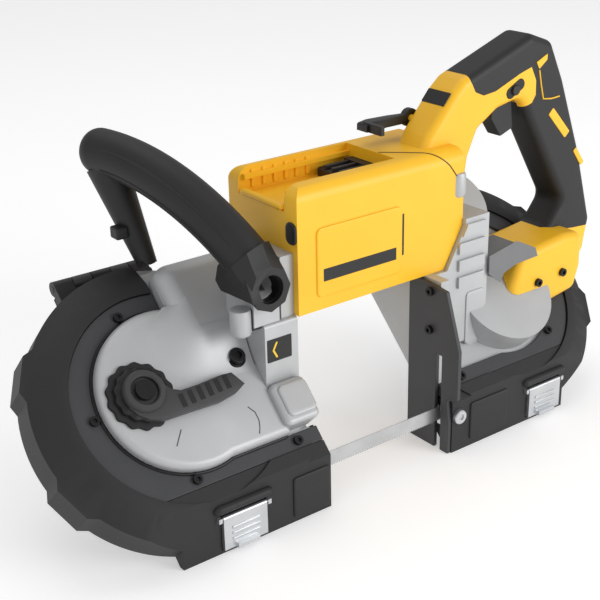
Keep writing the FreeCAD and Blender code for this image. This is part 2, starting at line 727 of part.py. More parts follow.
def spur_gear(axis, module, teeth, first_angle, n0, face, bore):
    """Straight gear; one tooth is centred on the first angle."""
    corners = []
    for i in range(teeth):
        middle = math.radians(first_angle) + 2 * math.pi * i / teeth
        radii = tooth_radii(teeth, module)
        flank = [(r, tooth_half(r, teeth, module)) for r in radii]
        for r, half in flank:
            corners.append((axis[0] + r * math.cos(middle - half), axis[1] + r * math.sin(middle - half)))
        for r, half in reversed(flank):
            corners.append((axis[0] + r * math.cos(middle + half), axis[1] + r * math.sin(middle + half)))
    return slab(corners, n0, n0 + face).cut(disc(axis[0], axis[1], bore, n0, n0 + face))


def bevel(teeth, mate, bore, first_angle):
    """Bevel gear below its apex at zero, axis upright, from back cone profiles."""
    cone = math.atan2(teeth, mate)
    pitch_r = BEVEL_MODULE * teeth / 2
    length = pitch_r / math.sin(cone)
    virtual = teeth / math.cos(cone)
    inner = 1 - BEVEL_FACE_SHARE

    def place(t, s):
        return vec(t * math.cos(cone), s, t * math.sin(cone) - length / math.cos(cone))

    low, base_r, mid, tip = tooth_radii(virtual, BEVEL_MODULE)
    sunk = low - BEVEL_BACK / 2
    flank = [(r, tooth_half(r, virtual, BEVEL_MODULE) * r) for r in (base_r, mid, tip)]
    side = [(sunk, flank[0][1])] + flank
    outline = [place(t, -s) for t, s in side] + [place(t, s) for t, s in reversed(side)]
    outer_wire = Part.makePolygon(outline + outline[:1])
    shrunk = [p * inner for p in outline]
    inner_wire = Part.makePolygon(shrunk + shrunk[:1])
    tooth = Part.makeLoft([outer_wire, inner_wire], True, True)
    rim = place(low, 0)
    back = place(low - BEVEL_BACK, 0)
    profile = [vec(0, 0, rim.z * inner), rim * inner, rim, back, vec(0, 0, back.z)]
    blank = Part.Face(Part.makePolygon(profile + profile[:1])).revolve(vec(0, 0, 0), vec(0, 0, 1), 360)
    teeth_all = []
    for i in range(teeth):
        one = tooth.copy()
        one.rotate(vec(0, 0, 0), vec(0, 0, 1), first_angle + 360.0 * i / teeth)
        teeth_all.append(one)
    body = blank.multiFuse(teeth_all)
    return body.cut(Part.makeCylinder(bore, FAR, vec(0, 0, -FAR / 2)))


def bevel_gear():
    """Teeth face the motor; a gap is centred towards the pinion."""
    gear = bevel(BEVEL_TEETH, BEVEL_PINION_TEETH, FIRST_SHAFT_R, 180.0 + 180.0 / BEVEL_TEETH)
    gear.translate(vec(BEVEL_APEX_X, MOTOR_W, MOTOR_N))
    return tilt(gear)


def bevel_pinion():
    """Pinion on the motor shaft with a tooth centred towards the gear."""
    gear = bevel(BEVEL_PINION_TEETH, BEVEL_TEETH, FIRST_SHAFT_R, 180.0)
    gear.rotate(vec(0, 0, 0), vec(0, 1, 0), 90)
    gear.translate(vec(BEVEL_APEX_X, MOTOR_W, MOTOR_N))
    return tilt(gear)


def final_gear():
    turn = bearing_angle(DRIVE_AXIS, SECOND_AXIS) + 180.0 / FINAL_TEETH
    return tilt(spur_gear(DRIVE_AXIS, FINAL_MODULE, FINAL_TEETH, turn, FINAL_N, FINAL_FACE, AXLE_R))


def second_pinion():
    turn = bearing_angle(SECOND_AXIS, DRIVE_AXIS)
    return tilt(spur_gear(SECOND_AXIS, FINAL_MODULE, FINAL_PINION_TEETH, turn, FINAL_N, FINAL_FACE,
                          SECOND_SHAFT_R))


def second_gear():
    turn = bearing_angle(SECOND_AXIS, FIRST_AXIS) + 180.0 / FIRST_TEETH
    return tilt(spur_gear(SECOND_AXIS, FIRST_MODULE, FIRST_TEETH, turn, FIRST_N, FIRST_FACE, SECOND_SHAFT_R))


def first_pinion():
    turn = bearing_angle(FIRST_AXIS, SECOND_AXIS)
    return tilt(spur_gear(FIRST_AXIS, FIRST_MODULE, FIRST_PINION_TEETH, turn, FIRST_N, FIRST_FACE,
                          FIRST_SHAFT_R))


def wheel(x, bore):
    """Spoked disc wheel with a rim, web holes and a hub."""
    n0 = BLADE_N - WHEEL_WIDTH / 2
    n1 = BLADE_N + WHEEL_WIDTH / 2
    rim_r = WHEEL_R - TYRE_THICK
    rim = ring(x, WHEEL_W, rim_r - RIM_THICK, rim_r, n0, n1)
    web = disc(x, WHEEL_W, rim_r - RIM_THICK / 2, BLADE_N - WEB_THICK / 2, BLADE_N + WEB_THICK / 2)
    body = fuse(rim, web, disc(x, WHEEL_W, HUB_R, n0, n1))
    for i in range(WEB_HOLES):
        hx, hw = polar(x, WHEEL_W, WEB_HOLE_RING_R, 360.0 * i / WEB_HOLES)
        body = body.cut(disc(hx, hw, WEB_HOLE_R, n0, n1))
    return tilt(body.cut(disc(x, WHEEL_W, bore, n0, n1)))


def tyre(x):
    n0 = BLADE_N - WHEEL_WIDTH / 2
    return tilt(ring(x, WHEEL_W, WHEEL_R - TYRE_THICK, WHEEL_R, n0, n0 + WHEEL_WIDTH))


def drive_shaft():
    n0 = BLADE_N - WHEEL_WIDTH / 2
    return tilt(disc(WHEEL_X, WHEEL_W, AXLE_R, n0, CASE_N - CASE_WALL - RUN_GAP))


def idler_axle():
    n0 = BLADE_N - WHEEL_WIDTH / 2
    return tilt(disc(-WHEEL_X, WHEEL_W, AXLE_R, n0, DECK_FRONT + RUN_GAP + CARRIAGE_THICK))


def idler_bearings():
    n0 = BLADE_N - WHEEL_WIDTH / 2
    return tilt(ring(-WHEEL_X, WHEEL_W, AXLE_R + FIT_GAP, BEARING_R, n0, n0 + WHEEL_WIDTH))


def tension_carriage():
    n0 = DECK_FRONT + RUN_GAP
    plate = box(-WHEEL_X - CARRIAGE_HALF_X, -WHEEL_X + CARRIAGE_HALF_X, WHEEL_W - CARRIAGE_HALF_W,
                WHEEL_W + CARRIAGE_HALF_W, n0, n0 + CARRIAGE_THICK)
    return tilt(plate.cut(disc(-WHEEL_X, WHEEL_W, AXLE_R, 0, n0 + OVERRUN)))


def tension_spring():
    n = DECK_FRONT + RUN_GAP + CARRIAGE_THICK / 2
    x0 = -WHEEL_X + CARRIAGE_HALF_X
    coil = Part.makeCylinder(SPRING_R, SPRING_LENGTH, vec(x0, WHEEL_W, n), vec(1, 0, 0))
    core = Part.makeCylinder(SPRING_R / 2, SPRING_LENGTH, vec(x0, WHEEL_W, n), vec(1, 0, 0))
    return tilt(coil.cut(core))


SECOND_TOP = FIRST_N + FIRST_FACE + CASE_ROOM
FINAL_TOP = FINAL_N + FINAL_FACE + CASE_ROOM
SMALL_BEARING_N = DECK_FRONT
FIRST_BEARING_N = SECOND_TOP + SMALL_BEARING_WIDTH + CASE_ROOM
BEVEL_FLOOR = FIRST_BEARING_N + SMALL_BEARING_WIDTH + CASE_ROOM
BEVEL_TOP = MOTOR_N - BEVEL_PINION_R / 2 + CASE_ROOM
FINAL_ROOM_R = FINAL_MODULE * (FINAL_TEETH / 2 + 1) + CASE_ROOM
FIRST_ROOM_R = FIRST_MODULE * (FIRST_TEETH / 2 + 1) + CASE_ROOM
BEVEL_ROOM_R = BEVEL_R + BEVEL_MODULE + CASE_ROOM
PINION_ROOM_R = FIRST_MODULE * (FIRST_PINION_TEETH / 2 + 1) + CASE_ROOM
SNOUT_R = BEVEL_PINION_R + BEVEL_MODULE + CASE_ROOM
SNOUT_X = BEVEL_APEX_X - BEVEL_ROOM_R - CASE_WALL


def snout(radius, x0, x1):
    return Part.makeCylinder(radius, x1 - x0, vec(x0, MOTOR_W, MOTOR_N), vec(1, 0, 0))


def case_outline(grow, n0):
    """Outside of the gear case, grown for the pieces that sit round it."""
    x1, w1 = FIRST_AXIS
    x2, w2 = SECOND_AXIS
    x3, w3 = DRIVE_AXIS
    over = CASE_WALL + grow
    return fuse(disc(x3, w3, FINAL_ROOM_R + over, n0, CASE_N + grow),
                disc(x2, w2, FIRST_ROOM_R + over, n0, SECOND_TOP + SMALL_BEARING_WIDTH + over),
                disc(x1, w1, BEVEL_ROOM_R + over, n0, BEVEL_TOP + over),
                snout(SNOUT_R + over, SNOUT_X - grow, x1 - BEVEL_R / 2))


def gear_case():
    x1, w1 = FIRST_AXIS
    x2, w2 = SECOND_AXIS
    x3, w3 = DRIVE_AXIS
    rooms = [disc(x3, w3, FINAL_ROOM_R, DECK_FRONT, FINAL_TOP),
             disc(x3, w3, BEARING_R, FINAL_TOP, CASE_N - CASE_WALL),
             disc(x2, w2, FIRST_ROOM_R, DECK_FRONT, SECOND_TOP),
             disc(x2, w2, SMALL_BEARING_R, SECOND_TOP, SECOND_TOP + SMALL_BEARING_WIDTH),
             disc(x1, w1, PINION_ROOM_R, DECK_FRONT, FIRST_BEARING_N),
             disc(x1, w1, SMALL_BEARING_R, FIRST_BEARING_N, FIRST_BEARING_N + SMALL_BEARING_WIDTH),
             disc(x1, w1, FIRST_SHAFT_R + CASE_ROOM, FIRST_BEARING_N, BEVEL_TOP),
             disc(x1, w1, BEVEL_ROOM_R, BEVEL_FLOOR, BEVEL_TOP),
             snout(SNOUT_R, SNOUT_X - OVERRUN, x1 - BEVEL_R / 2 - CASE_WALL)]
    body = fuse(tilt(case_outline(0, DECK_FRONT)), case_front(0), case_ribs())
    return largest(cut(body, *[tilt(room) for room in rooms])).removeSplitter()


def case_wall_outline(grow):
    """Upright outline of the case's front wall, which steps round the motor housing."""
    left, top = LOBE_PANEL_IN + GUSSET_THICK, STOP_HEIGHT - RUN_GAP
    end = HOUSING_END + RUN_GAP
    return [(left - grow, -grow), (left - grow, top + grow), (CASE_CORNER - grow, top + grow),
            (end - grow, CASE_SHOULDER + grow), (end - grow, CASE_TOP + grow),
            (CASE_SIDE + grow, CASE_TOP + grow),
            (CASE_SIDE + grow, -grow)]


def case_front(grow):
    """Upright front wall of the gear case beside the motor housing."""
    body = wall(case_wall_outline(grow), CASE_FRONT - grow, MOTOR_Y + grow)
    flange = disc(WHEEL_X, FLANGE_W, LIP_R, -FAR, FLANGE_N + RUN_GAP)
    flange = flange.cut(disc(WHEEL_X, FLANGE_W, FLANGE_IN_R - RUN_GAP, -FAR, FLANGE_N + RUN_GAP))
    band = box(0, WHEEL_X, -FAR, LOBE_PANEL_TOP + RUN_GAP, -FAR, FLANGE_N + RUN_GAP)
    return cut(body, below_deck(DECK_FRONT), tilt(flange), tilt(band))


def case_ribs():
    """Cooling ribs across the front wall."""
    ribs = [box(RIB_IN, RIB_OUT, CASE_FRONT - RIB_RISE, CASE_FRONT, z, z + RIB_TALL)
            for z in (RIB_LOW + i * RIB_PITCH for i in range(CASE_RIBS))]
    room = wall(case_wall_outline(0), CASE_FRONT - RIB_RISE, CASE_FRONT)
    return fuse(*ribs).common(room)


def first_shaft():
    x1, w1 = FIRST_AXIS
    return tilt(disc(x1, w1, FIRST_SHAFT_R, SMALL_BEARING_N, BEVEL_TOP - CASE_ROOM - CASE_ROOM))


def second_shaft():
    x2, w2 = SECOND_AXIS
    return tilt(disc(x2, w2, SECOND_SHAFT_R, SMALL_BEARING_N, SECOND_TOP + SMALL_BEARING_WIDTH - RUN_GAP))


def shaft_bearings():
    x1, w1 = FIRST_AXIS
    x2, w2 = SECOND_AXIS
    x3, w3 = DRIVE_AXIS
    wide = SMALL_BEARING_WIDTH
    rings = [ring(x3, w3, AXLE_R + FIT_GAP, BEARING_R, DECK_BACK, DECK_BACK + BEARING_WIDTH),
             ring(x3, w3, AXLE_R + FIT_GAP, BEARING_R, FINAL_TOP, CASE_N - CASE_WALL),
             ring(x2, w2, SECOND_SHAFT_R + FIT_GAP, SMALL_BEARING_R, DECK_FRONT, DECK_FRONT + wide),
             ring(x2, w2, SECOND_SHAFT_R + FIT_GAP, SMALL_BEARING_R, SECOND_TOP, SECOND_TOP + wide),
             ring(x1, w1, FIRST_SHAFT_R + FIT_GAP, SMALL_BEARING_R, DECK_FRONT, DECK_FRONT + wide),
             ring(x1, w1, FIRST_SHAFT_R + FIT_GAP, SMALL_BEARING_R, FIRST_BEARING_N, FIRST_BEARING_N + wide)]
    return Part.makeCompound([tilt(one) for one in rings])


def along_motor(radius, x0, x1):
    return Part.makeCylinder(radius, x1 - x0, vec(x0, MOTOR_Y, MOTOR_Z), vec(1, 0, 0))


def motor_stator():
    return along_motor(STATOR_R, MOTOR_X0, MOTOR_X1).cut(along_motor(STATOR_BORE_R, MOTOR_X0, MOTOR_X1))


def motor_rotor():
    core = along_motor(ROTOR_R, MOTOR_X0 + ROTOR_SHORT, MOTOR_X1 - ROTOR_SHORT)
    tail = MOTOR_X0 - BEARING_WIDTH
    return core.fuse(along_motor(FIRST_SHAFT_R, tail, BEVEL_APEX_X - BEVEL_R * (1 - BEVEL_FACE_SHARE)))


def motor_bearings():
    spots = (MOTOR_X0 - BEARING_WIDTH, MOTOR_X1 + BEARING_WIDTH)
    wide = SMALL_BEARING_WIDTH
    return Part.makeCompound([along_motor(SMALL_BEARING_R, x, x + wide).cut(
        along_motor(FIRST_SHAFT_R + FIT_GAP, x, x + wide)) for x in spots])


def top_edge(height):
    """Pick round edges that lie at a height."""
    def pick(edge):
        return abs(edge.BoundBox.ZMin - height) < FIT_GAP and abs(edge.BoundBox.ZMax - height) < FIT_GAP
    return pick


def shoulder_rim(edge):
    """Pick the top edges of the shoulder but not the one along the tower."""
    return top_edge(SHOULDER_N)(edge) and edge.BoundBox.XMin < PAD_IN - FIT_GAP


def tension_cover():
    plate = fuse(disc(-WHEEL_X, FLANGE_W, COVER_R, DECK_FRONT, COVER_N),
                 box(-WHEEL_X, PAD_OUT + PAD_ROUND, FLANGE_BAND_TOP + RUN_GAP, FLANGE_W, DECK_FRONT, COVER_N))
    plate = soften(plate.removeSplitter(), COVER_ROUND, top_edge(COVER_N))
    shoulder = box(SHOULDER_OUT, PAD_IN, SHOULDER_LOW, SHOULDER_HIGH, DECK_FRONT, SHOULDER_N)
    shoulder = soften(shoulder, SHOULDER_ROUND,
                      lambda e: along(vec(0, 0, 1))(e) and e.CenterOfMass.x < PAD_OUT)
    shoulder = soften(shoulder, SHOULDER_ROUND, shoulder_rim)
    pad = box(PAD_OUT, PAD_IN, PAD_LOW, PAD_HIGH, DECK_FRONT, PAD_N)
    pad = soften(pad, PAD_ROUND, along(vec(0, 0, 1)))
    pad = soften(pad, PAD_ROUND * ROUND_END_SHARE, top_edge(PAD_N))
    rise = box(SHOULDER_OUT, PAD_IN, PAD_HIGH - COVER_ROUND, SHOULDER_HIGH - SHOULDER_ROUND,
               DECK_FRONT, RISE_N)
    body = fuse(plate, shoulder, pad, rise)
    room = box(-WHEEL_X - CARRIAGE_HALF_X - RUN_GAP,
               -WHEEL_X + CARRIAGE_HALF_X + SPRING_LENGTH,
               WHEEL_W - CARRIAGE_HALF_W - RUN_GAP, WHEEL_W + CARRIAGE_HALF_W + RUN_GAP,
               DECK_FRONT, DECK_FRONT + CARRIAGE_THICK + RUN_GAP + RUN_GAP)
    body = body.cut(room)
    bolt_hole = disc(LEVER_X, LEVER_W, LEVER_BOLT_R, COVER_N - LEVER_THICK, LEVER_N + OVERRUN)
    return tilt(body.fuse(lever_ring()).cut(bolt_hole).removeSplitter())


def lever_ring():
    """Serrated index ring of the cover under the lever."""
    body = disc(LEVER_X, LEVER_W, LEVER_RING_R, COVER_N, LEVER_N - RUN_GAP)
    for i in range(LEVER_TEETH):
        x, w = polar(LEVER_X, LEVER_W, LEVER_RING_R, 360.0 * i / LEVER_TEETH)
        body = body.cut(disc(x, w, LEVER_RING_R * math.pi / LEVER_TEETH / 2, COVER_N, LEVER_N))
    return body


def tension_lever():
    top = LEVER_N + LEVER_THICK * 3 / 4
    hub = disc(LEVER_X, LEVER_W, LEVER_HUB_R, LEVER_N, LEVER_N + LEVER_THICK)
    arm = slab(spread(LEVER_SHARES, (LEVER_X, LEVER_W), (LEVER_LENGTH, LEVER_LENGTH)), LEVER_N, top)
    body = fuse(hub, arm)
    body = body.cut(disc(LEVER_X, LEVER_W, LEVER_BOLT_R + FIT_GAP, LEVER_N, LEVER_N + OVERRUN))
    for i in range(LEVER_SLOTS):
        x = LEVER_X + LEVER_LENGTH * LEVER_SLOT_START_SHARES[0] + LEVER_SLOT_PITCH * i
        w = LEVER_W + LEVER_LENGTH * LEVER_SLOT_START_SHARES[1]
        slot = box(x - LEVER_SLOT_WIDE / 2, x + LEVER_SLOT_WIDE / 2,
                   w - LEVER_SLOT_TALL / 2, w + LEVER_SLOT_TALL / 2,
                   LEVER_N + LEVER_THICK / 2, LEVER_N + OVERRUN)
        body = body.cut(slot)
    return tilt(body)


def lever_bolt():
    shank = disc(LEVER_X, LEVER_W, LEVER_BOLT_R, COVER_N - LEVER_THICK, LEVER_N + LEVER_THICK + RUN_GAP)
    top = LEVER_N + LEVER_THICK + RUN_GAP
    head = disc(LEVER_X, LEVER_W, LEVER_HUB_R / 2, top, top + LEVER_BOLT_R / 2)
    return tilt(shank.fuse(head))


def blade_rect(x, twist):
    """Blade cross section at x, turned from upright towards the wheel rims."""
    turn = math.radians(twist)
    tall = vec(0, -math.sin(turn), math.cos(turn)) * (BLADE_WIDTH / 2)
    thin = vec(0, math.cos(turn), math.sin(turn)) * (BLADE_THICK / 2)
    middle = vec(x, BLADE_Y, BLADE_Z)
    corners = [middle + tall + thin, middle - tall + thin, middle - tall - thin, middle + tall - thin]
    return Part.makePolygon(corners + corners[:1])


def blade():
    half = BLADE_WIDTH / 2
    parts = [Part.makeLoft([blade_rect(-GUIDE_OUT, 0), blade_rect(GUIDE_OUT, 0)], True, True)]
    for side in (1, -1):
        end = WHEEL_X - TENSION_TRAVEL - BLADE_STRAIGHT
        span = end - GUIDE_OUT
        wires = [blade_rect(side * (GUIDE_OUT + span * i / TWIST_STEPS), TILT * i / TWIST_STEPS)
                 for i in range(TWIST_STEPS + 1)]
        parts.append(Part.makeLoft(wires, True, True))
        ends = [blade_rect(side * end, TILT), blade_rect(side * WHEEL_X, TILT)]
        parts.append(Part.makeLoft(ends, True, True))
        arc = ring(WHEEL_X, WHEEL_W, WHEEL_R + RUN_GAP, WHEEL_R + RUN_GAP + BLADE_THICK,
                   BLADE_N - half, BLADE_N + half)
        arc = arc.common(box(WHEEL_X, FAR, 0, FAR, -FAR, FAR))
        parts.append(tilt(on_side(arc, side)))
    back = box(-WHEEL_X, WHEEL_X, RETURN_W - BLADE_THICK / 2, RETURN_W + BLADE_THICK / 2,
               BLADE_N - half, BLADE_N + half)
    return fuse(tilt(back), *parts)


ROLLER_REACH = BLADE_THICK / 2 + FIT_GAP + ROLLER_R
BACKUP_Z = BLADE_Z + BLADE_WIDTH / 2 + FIT_GAP + BACKUP_R
ARM_LOW = BLADE_Z + ROLLER_HEIGHT / 2 + RUN_GAP + RUN_GAP


def guide_pin(x, y):
    return rod(vec(x, y, BLADE_Z - ROLLER_HEIGHT / 2 - RUN_GAP - GUIDE_PIN_R),
               vec(x, y, ARM_LOW + GUIDE_ARM), GUIDE_PIN_R)


def guide_bracket(side):
    y0 = BLADE_Y - GUIDE_HALF_Y
    y1 = BLADE_Y + GUIDE_HALF_Y
    arm = box(GUIDE_IN, GUIDE_OUT, y0, y1, ARM_LOW, ARM_LOW + GUIDE_ARM)
    block = box(LOBE_PANEL_IN + SKIN + SKIN + RUN_GAP, GUIDE_OUT, y0, y1 + GUIDE_HALF_Y, ARM_LOW, GUIDE_TOP)
    front = tilt(box(-FAR, FAR, -FAR, FAR, DECK_BACK, FAR))
    body = fuse(arm, block).cut(front)
    slot = box(0, FAR, BLADE_Y - BLADE_THICK - BLADE_THICK, BLADE_Y + BLADE_THICK + BLADE_THICK,
               0, BLADE_Z + BLADE_WIDTH / 2 + RUN_GAP)
    half = BACKUP_WIDTH / 2 + RUN_GAP
    room = box(BACKUP_X - BACKUP_R - RUN_GAP, BACKUP_X + BACKUP_R + RUN_GAP, BLADE_Y - half, BLADE_Y + half,
               0, BACKUP_Z + BACKUP_R + RUN_GAP)
    body = cut(body, slot, room, backup_pin_shape())
    for sign in (-1, 1):
        body = body.cut(guide_pin(GUIDE_X, BLADE_Y + sign * ROLLER_REACH))
    return on_side(body, side)


def backup_pin_shape():
    return rod(vec(BACKUP_X, BLADE_Y - GUIDE_HALF_Y, BACKUP_Z),
               vec(BACKUP_X, BLADE_Y + GUIDE_HALF_Y, BACKUP_Z),
               GUIDE_PIN_R)


def guide_pins():
    front = tilt(box(-FAR, FAR, -FAR, FAR, DECK_BACK, FAR))
    pins = []
    for side in (1, -1):
        shapes = [guide_pin(GUIDE_X, BLADE_Y + sign * ROLLER_REACH) for sign in (-1, 1)]
        shapes.append(backup_pin_shape())
        pins += [on_side(one.cut(front), side) for one in shapes]
    return Part.makeCompound(pins)


def side_roller(side, sign):
    y = BLADE_Y + sign * ROLLER_REACH
    z0 = BLADE_Z - ROLLER_HEIGHT / 2
    return on_side(ring(GUIDE_X, y, GUIDE_PIN_R + FIT_GAP, ROLLER_R, z0, z0 + ROLLER_HEIGHT), side)


def backup_roller(side):
    half = BACKUP_WIDTH / 2
    ends = vec(BACKUP_X, BLADE_Y - half, BACKUP_Z), vec(BACKUP_X, BLADE_Y + half, BACKUP_Z)
    return on_side(rod(ends[0], ends[1], BACKUP_R).cut(rod(ends[0], ends[1], GUIDE_PIN_R + FIT_GAP)), side)


def work_stop():
    shape = side_plate(spread(STOP_SHARES, (STOP_FRONT, 0), (STOP_BACK - STOP_FRONT, STOP_HEIGHT)),
                       THROAT_HALF, LOBE_PANEL_IN)
    slot = box(THROAT_HALF, LOBE_PANEL_IN, BLADE_Y - STOP_SLOT / 2, BLADE_Y + STOP_SLOT / 2,
               0, STOP_SLOT_HEIGHT)
    return shape.cut(slot)


def stop_screws():
    return [cap_screw(vec(THROAT_HALF, STOP_SCREW_Y, z), vec(-1, 0, 0))
            for z in (STOP_SCREW_LOW, STOP_SCREW_HIGH)]


def below_deck(n):
    return tilt(box(-FAR, FAR, -FAR, FAR, -FAR, n))


def right_gusset():
    """Upright web between the deck and the motor housing, behind the work stop."""
    low = [(GUSSET_FRONT, 0), (GUSSET_FRONT, STOP_HEIGHT), (STOP_HEIGHT, STOP_HEIGHT), (STOP_HEIGHT, 0)]
    body = side_plate(low, LOBE_PANEL_IN, LOBE_PANEL_IN + GUSSET_THICK)
    body = body.cut(below_deck(DECK_FRONT))
    return body.cut(tilt(case_outline(0, DECK_FRONT)))


def left_gusset():
    """Silver tower between the tension cover and the motor housing."""
    wide = box(LEFT_GUSSET_OUT, PAD_IN, LEFT_GUSSET_FRONT, LEFT_TOWER_BACK, 0, STOP_HEIGHT)
    tall = box(LEFT_TOWER_OUT, PAD_IN, LEFT_GUSSET_FRONT + SKIN, LEFT_TOWER_BACK, STOP_HEIGHT, LEFT_TOWER_TOP)
    wide = soften(wide, COVER_ROUND / 2, along(vec(1, 0, 0)))
    body = fuse(wide, tall).cut(below_deck(DECK_FRONT))
    return body.cut(tension_cover())


def below_case():
    return tilt(case_outline(RUN_GAP, -FAR))


def handle_solid():
    size = (HANDLE_LENGTH, HANDLE_HEIGHT)
    body = wall(spread(HANDLE_SHARES, (HANDLE_X, HANDLE_Z), size),
                MOTOR_Y - HANDLE_HALF, MOTOR_Y + HANDLE_HALF)
    body = soften(body, HANDLE_CORNER, along(vec(0, 1, 0)))

    return soften(body, HANDLE_EDGE, lambda e: e.BoundBox.YMax - e.BoundBox.YMin < FIT_GAP)


def housing_solid():
    body = box(PAD_IN, HOUSING_END, HOUSING_FRONT, HOUSING_BACK, STOP_HEIGHT, HOUSING_TOP)
    body = soften(body, HOUSING_ROUND, housing_rim)
    dock = box(PAD_IN - OVERRUN, DOCK_END, DOCK_FRONT, DOCK_BACK, DOCK_FLOOR, HOUSING_TOP + OVERRUN)
    body = body.cut(dock)
    for y0 in (DOCK_FRONT, DOCK_BACK - RAIL_REACH):
        rail = box(PAD_IN + SKIN, DOCK_END, y0, y0 + RAIL_REACH, RAIL_LOW, RAIL_LOW + RAIL_THICK)
        body = body.fuse(rail)
    return body


def housing_rim(edge):
    """Pick the long top edges and the top edge of the open end."""
    high = edge.CenterOfMass.z > MOTOR_Z
    across = along(vec(0, 1, 0))(edge) and edge.CenterOfMass.x < 0
    return high and (along(vec(1, 0, 0))(edge) or across)


def motor_room():
    """Stepped bore of the housing that seats the motor and its bearings."""
    wide = SMALL_BEARING_WIDTH
    rear = MOTOR_X0 - BEARING_WIDTH
    front = MOTOR_X1 + BEARING_WIDTH
    return fuse(along_motor(FIRST_SHAFT_R + CASE_ROOM, rear - wide, HOUSING_END + OVERRUN),
                along_motor(SMALL_BEARING_R, rear, rear + wide),
                along_motor(STATOR_R - ROTOR_SHORT, rear + wide + RUN_GAP, front - RUN_GAP),
                along_motor(STATOR_R, MOTOR_X0, MOTOR_X1),
                along_motor(SMALL_BEARING_R, front, front + wide))


def body_solid():
    """Whole plastic body before it is split into its half shells."""
    size = (HANDLE_LENGTH, HANDLE_HEIGHT)
    foot = wall(spread(FOOT_SHARES, (HANDLE_X, HANDLE_Z), size), FOOT_FRONT, MOTOR_Y)
    foot = soften(foot, HANDLE_CORNER, along(vec(0, 1, 0)))
    foot = soften(foot, HANDLE_EDGE, lambda e: e.BoundBox.YMax < FOOT_FRONT + FIT_GAP)
    body = fuse(housing_solid(), handle_solid(), foot)
    body = cut(body, below_deck(LIP_N), below_case(), case_front(RUN_GAP), motor_room())
    body = cut(body, trigger_pocket(), lock_bore(), switch_body(), grip_wrap())
    return body.fuse(hook_stud())


def trigger_pocket():
    return box(TRIGGER_X - RUN_GAP - HANDLE_CORNER, TRIGGER_X + TRIGGER_LENGTH + TRIGGER_TRAVEL + RUN_GAP,
               MOTOR_Y - TRIGGER_HALF - RUN_GAP, MOTOR_Y + TRIGGER_HALF + RUN_GAP,
               TRIGGER_Z, TRIGGER_Z + TRIGGER_HEIGHT + RUN_GAP)


def grip_wrap():
    """Soft layer that replaces the outside of the handle all round within the grip's outline."""
    start, size = (HANDLE_X, HANDLE_Z), (HANDLE_LENGTH, HANDLE_HEIGHT)
    region = wall(spread(GRIP_SHARES, start, size), MOTOR_Y - FAR, MOTOR_Y + FAR)
    reach = HANDLE_HALF - GRIP_SKIN
    core = wall(inset_outline(spread(HANDLE_SHARES, start, size), GRIP_SKIN),
                MOTOR_Y - reach, MOTOR_Y + reach)
    wrap = cut(handle_solid().common(region), core, trigger_pocket(), lock_bore(), switch_body())
    return cut(wrap, hook_stud(), below_deck(LIP_N), below_case())


def lock_bore():
    return rod(vec(LOCK_X, -FAR, LOCK_Z), vec(LOCK_X, FAR, LOCK_Z), LOCK_R + FIT_GAP)


def grip_skin(front):
    return largest(housing_half(grip_wrap(), front))


def housing_half(body, front):
    half = box(-FAR, 2 * FAR, -FAR, MOTOR_Y, -FAR, 2 * FAR)
    return body.common(half) if front else body.cut(half)


def terminal_block():
    y0 = DOCK_FRONT + RAIL_REACH + RAIL_REACH
    y1 = DOCK_BACK - RAIL_REACH - RAIL_REACH
    body = box(DOCK_END - TERMINAL_LENGTH, DOCK_END, y0, y1, DOCK_FLOOR, RAIL_LOW)
    step = (y1 - y0) / (TERMINAL_BLADES + 1)
    for i in range(TERMINAL_BLADES):
        y = y0 + (i + 1) * step
        body = body.fuse(box(DOCK_END - TERMINAL_LENGTH - TERMINAL_LENGTH, DOCK_END - TERMINAL_LENGTH,
                             y - BLADE_THICK, y + BLADE_THICK, DOCK_FLOOR, RAIL_LOW - RAIL_THICK))
    return body


def foot_screws():
    places = spread(FOOT_SCREW_SHARES, (HANDLE_X, HANDLE_Z), (HANDLE_LENGTH, HANDLE_HEIGHT))
    return [cap_screw(vec(x, FOOT_FRONT, z), vec(0, -1, 0)) for x, z in places]


def trigger():
    points = spread(TRIGGER_SHARES, (TRIGGER_X, TRIGGER_Z), (TRIGGER_LENGTH, TRIGGER_HEIGHT))
    body = wall(points, MOTOR_Y - TRIGGER_HALF, MOTOR_Y + TRIGGER_HALF)
    return soften(body, TRIGGER_HALF / 4, along(vec(0, 1, 0)))


def lock_off_button():
    ends = MOTOR_Y - HANDLE_HALF - LOCK_OUT, MOTOR_Y + HANDLE_HALF + LOCK_OUT - LOCK_TRAVEL
    return rod(vec(LOCK_X, ends[0], LOCK_Z), vec(LOCK_X, ends[1], LOCK_Z), LOCK_R)


def switch_body():
    return box(SWITCH_X, SWITCH_X + SWITCH_LENGTH, MOTOR_Y - SWITCH_HALF, MOTOR_Y + SWITCH_HALF,
               SWITCH_Z, SWITCH_Z + SWITCH_TALL)


def hook_x():
    """Place of the hook's stud along the neck, a little in from its upper edge."""
    high = (HOOK_Z + HOOK_IN - HANDLE_Z) / HANDLE_HEIGHT
    for a, b in zip(HANDLE_SHARES, HANDLE_SHARES[1:]):
        if a[1] <= high <= b[1]:
            return HANDLE_X + HANDLE_LENGTH * (a[0] + (b[0] - a[0]) * (high - a[1]) / (b[1] - a[1]))


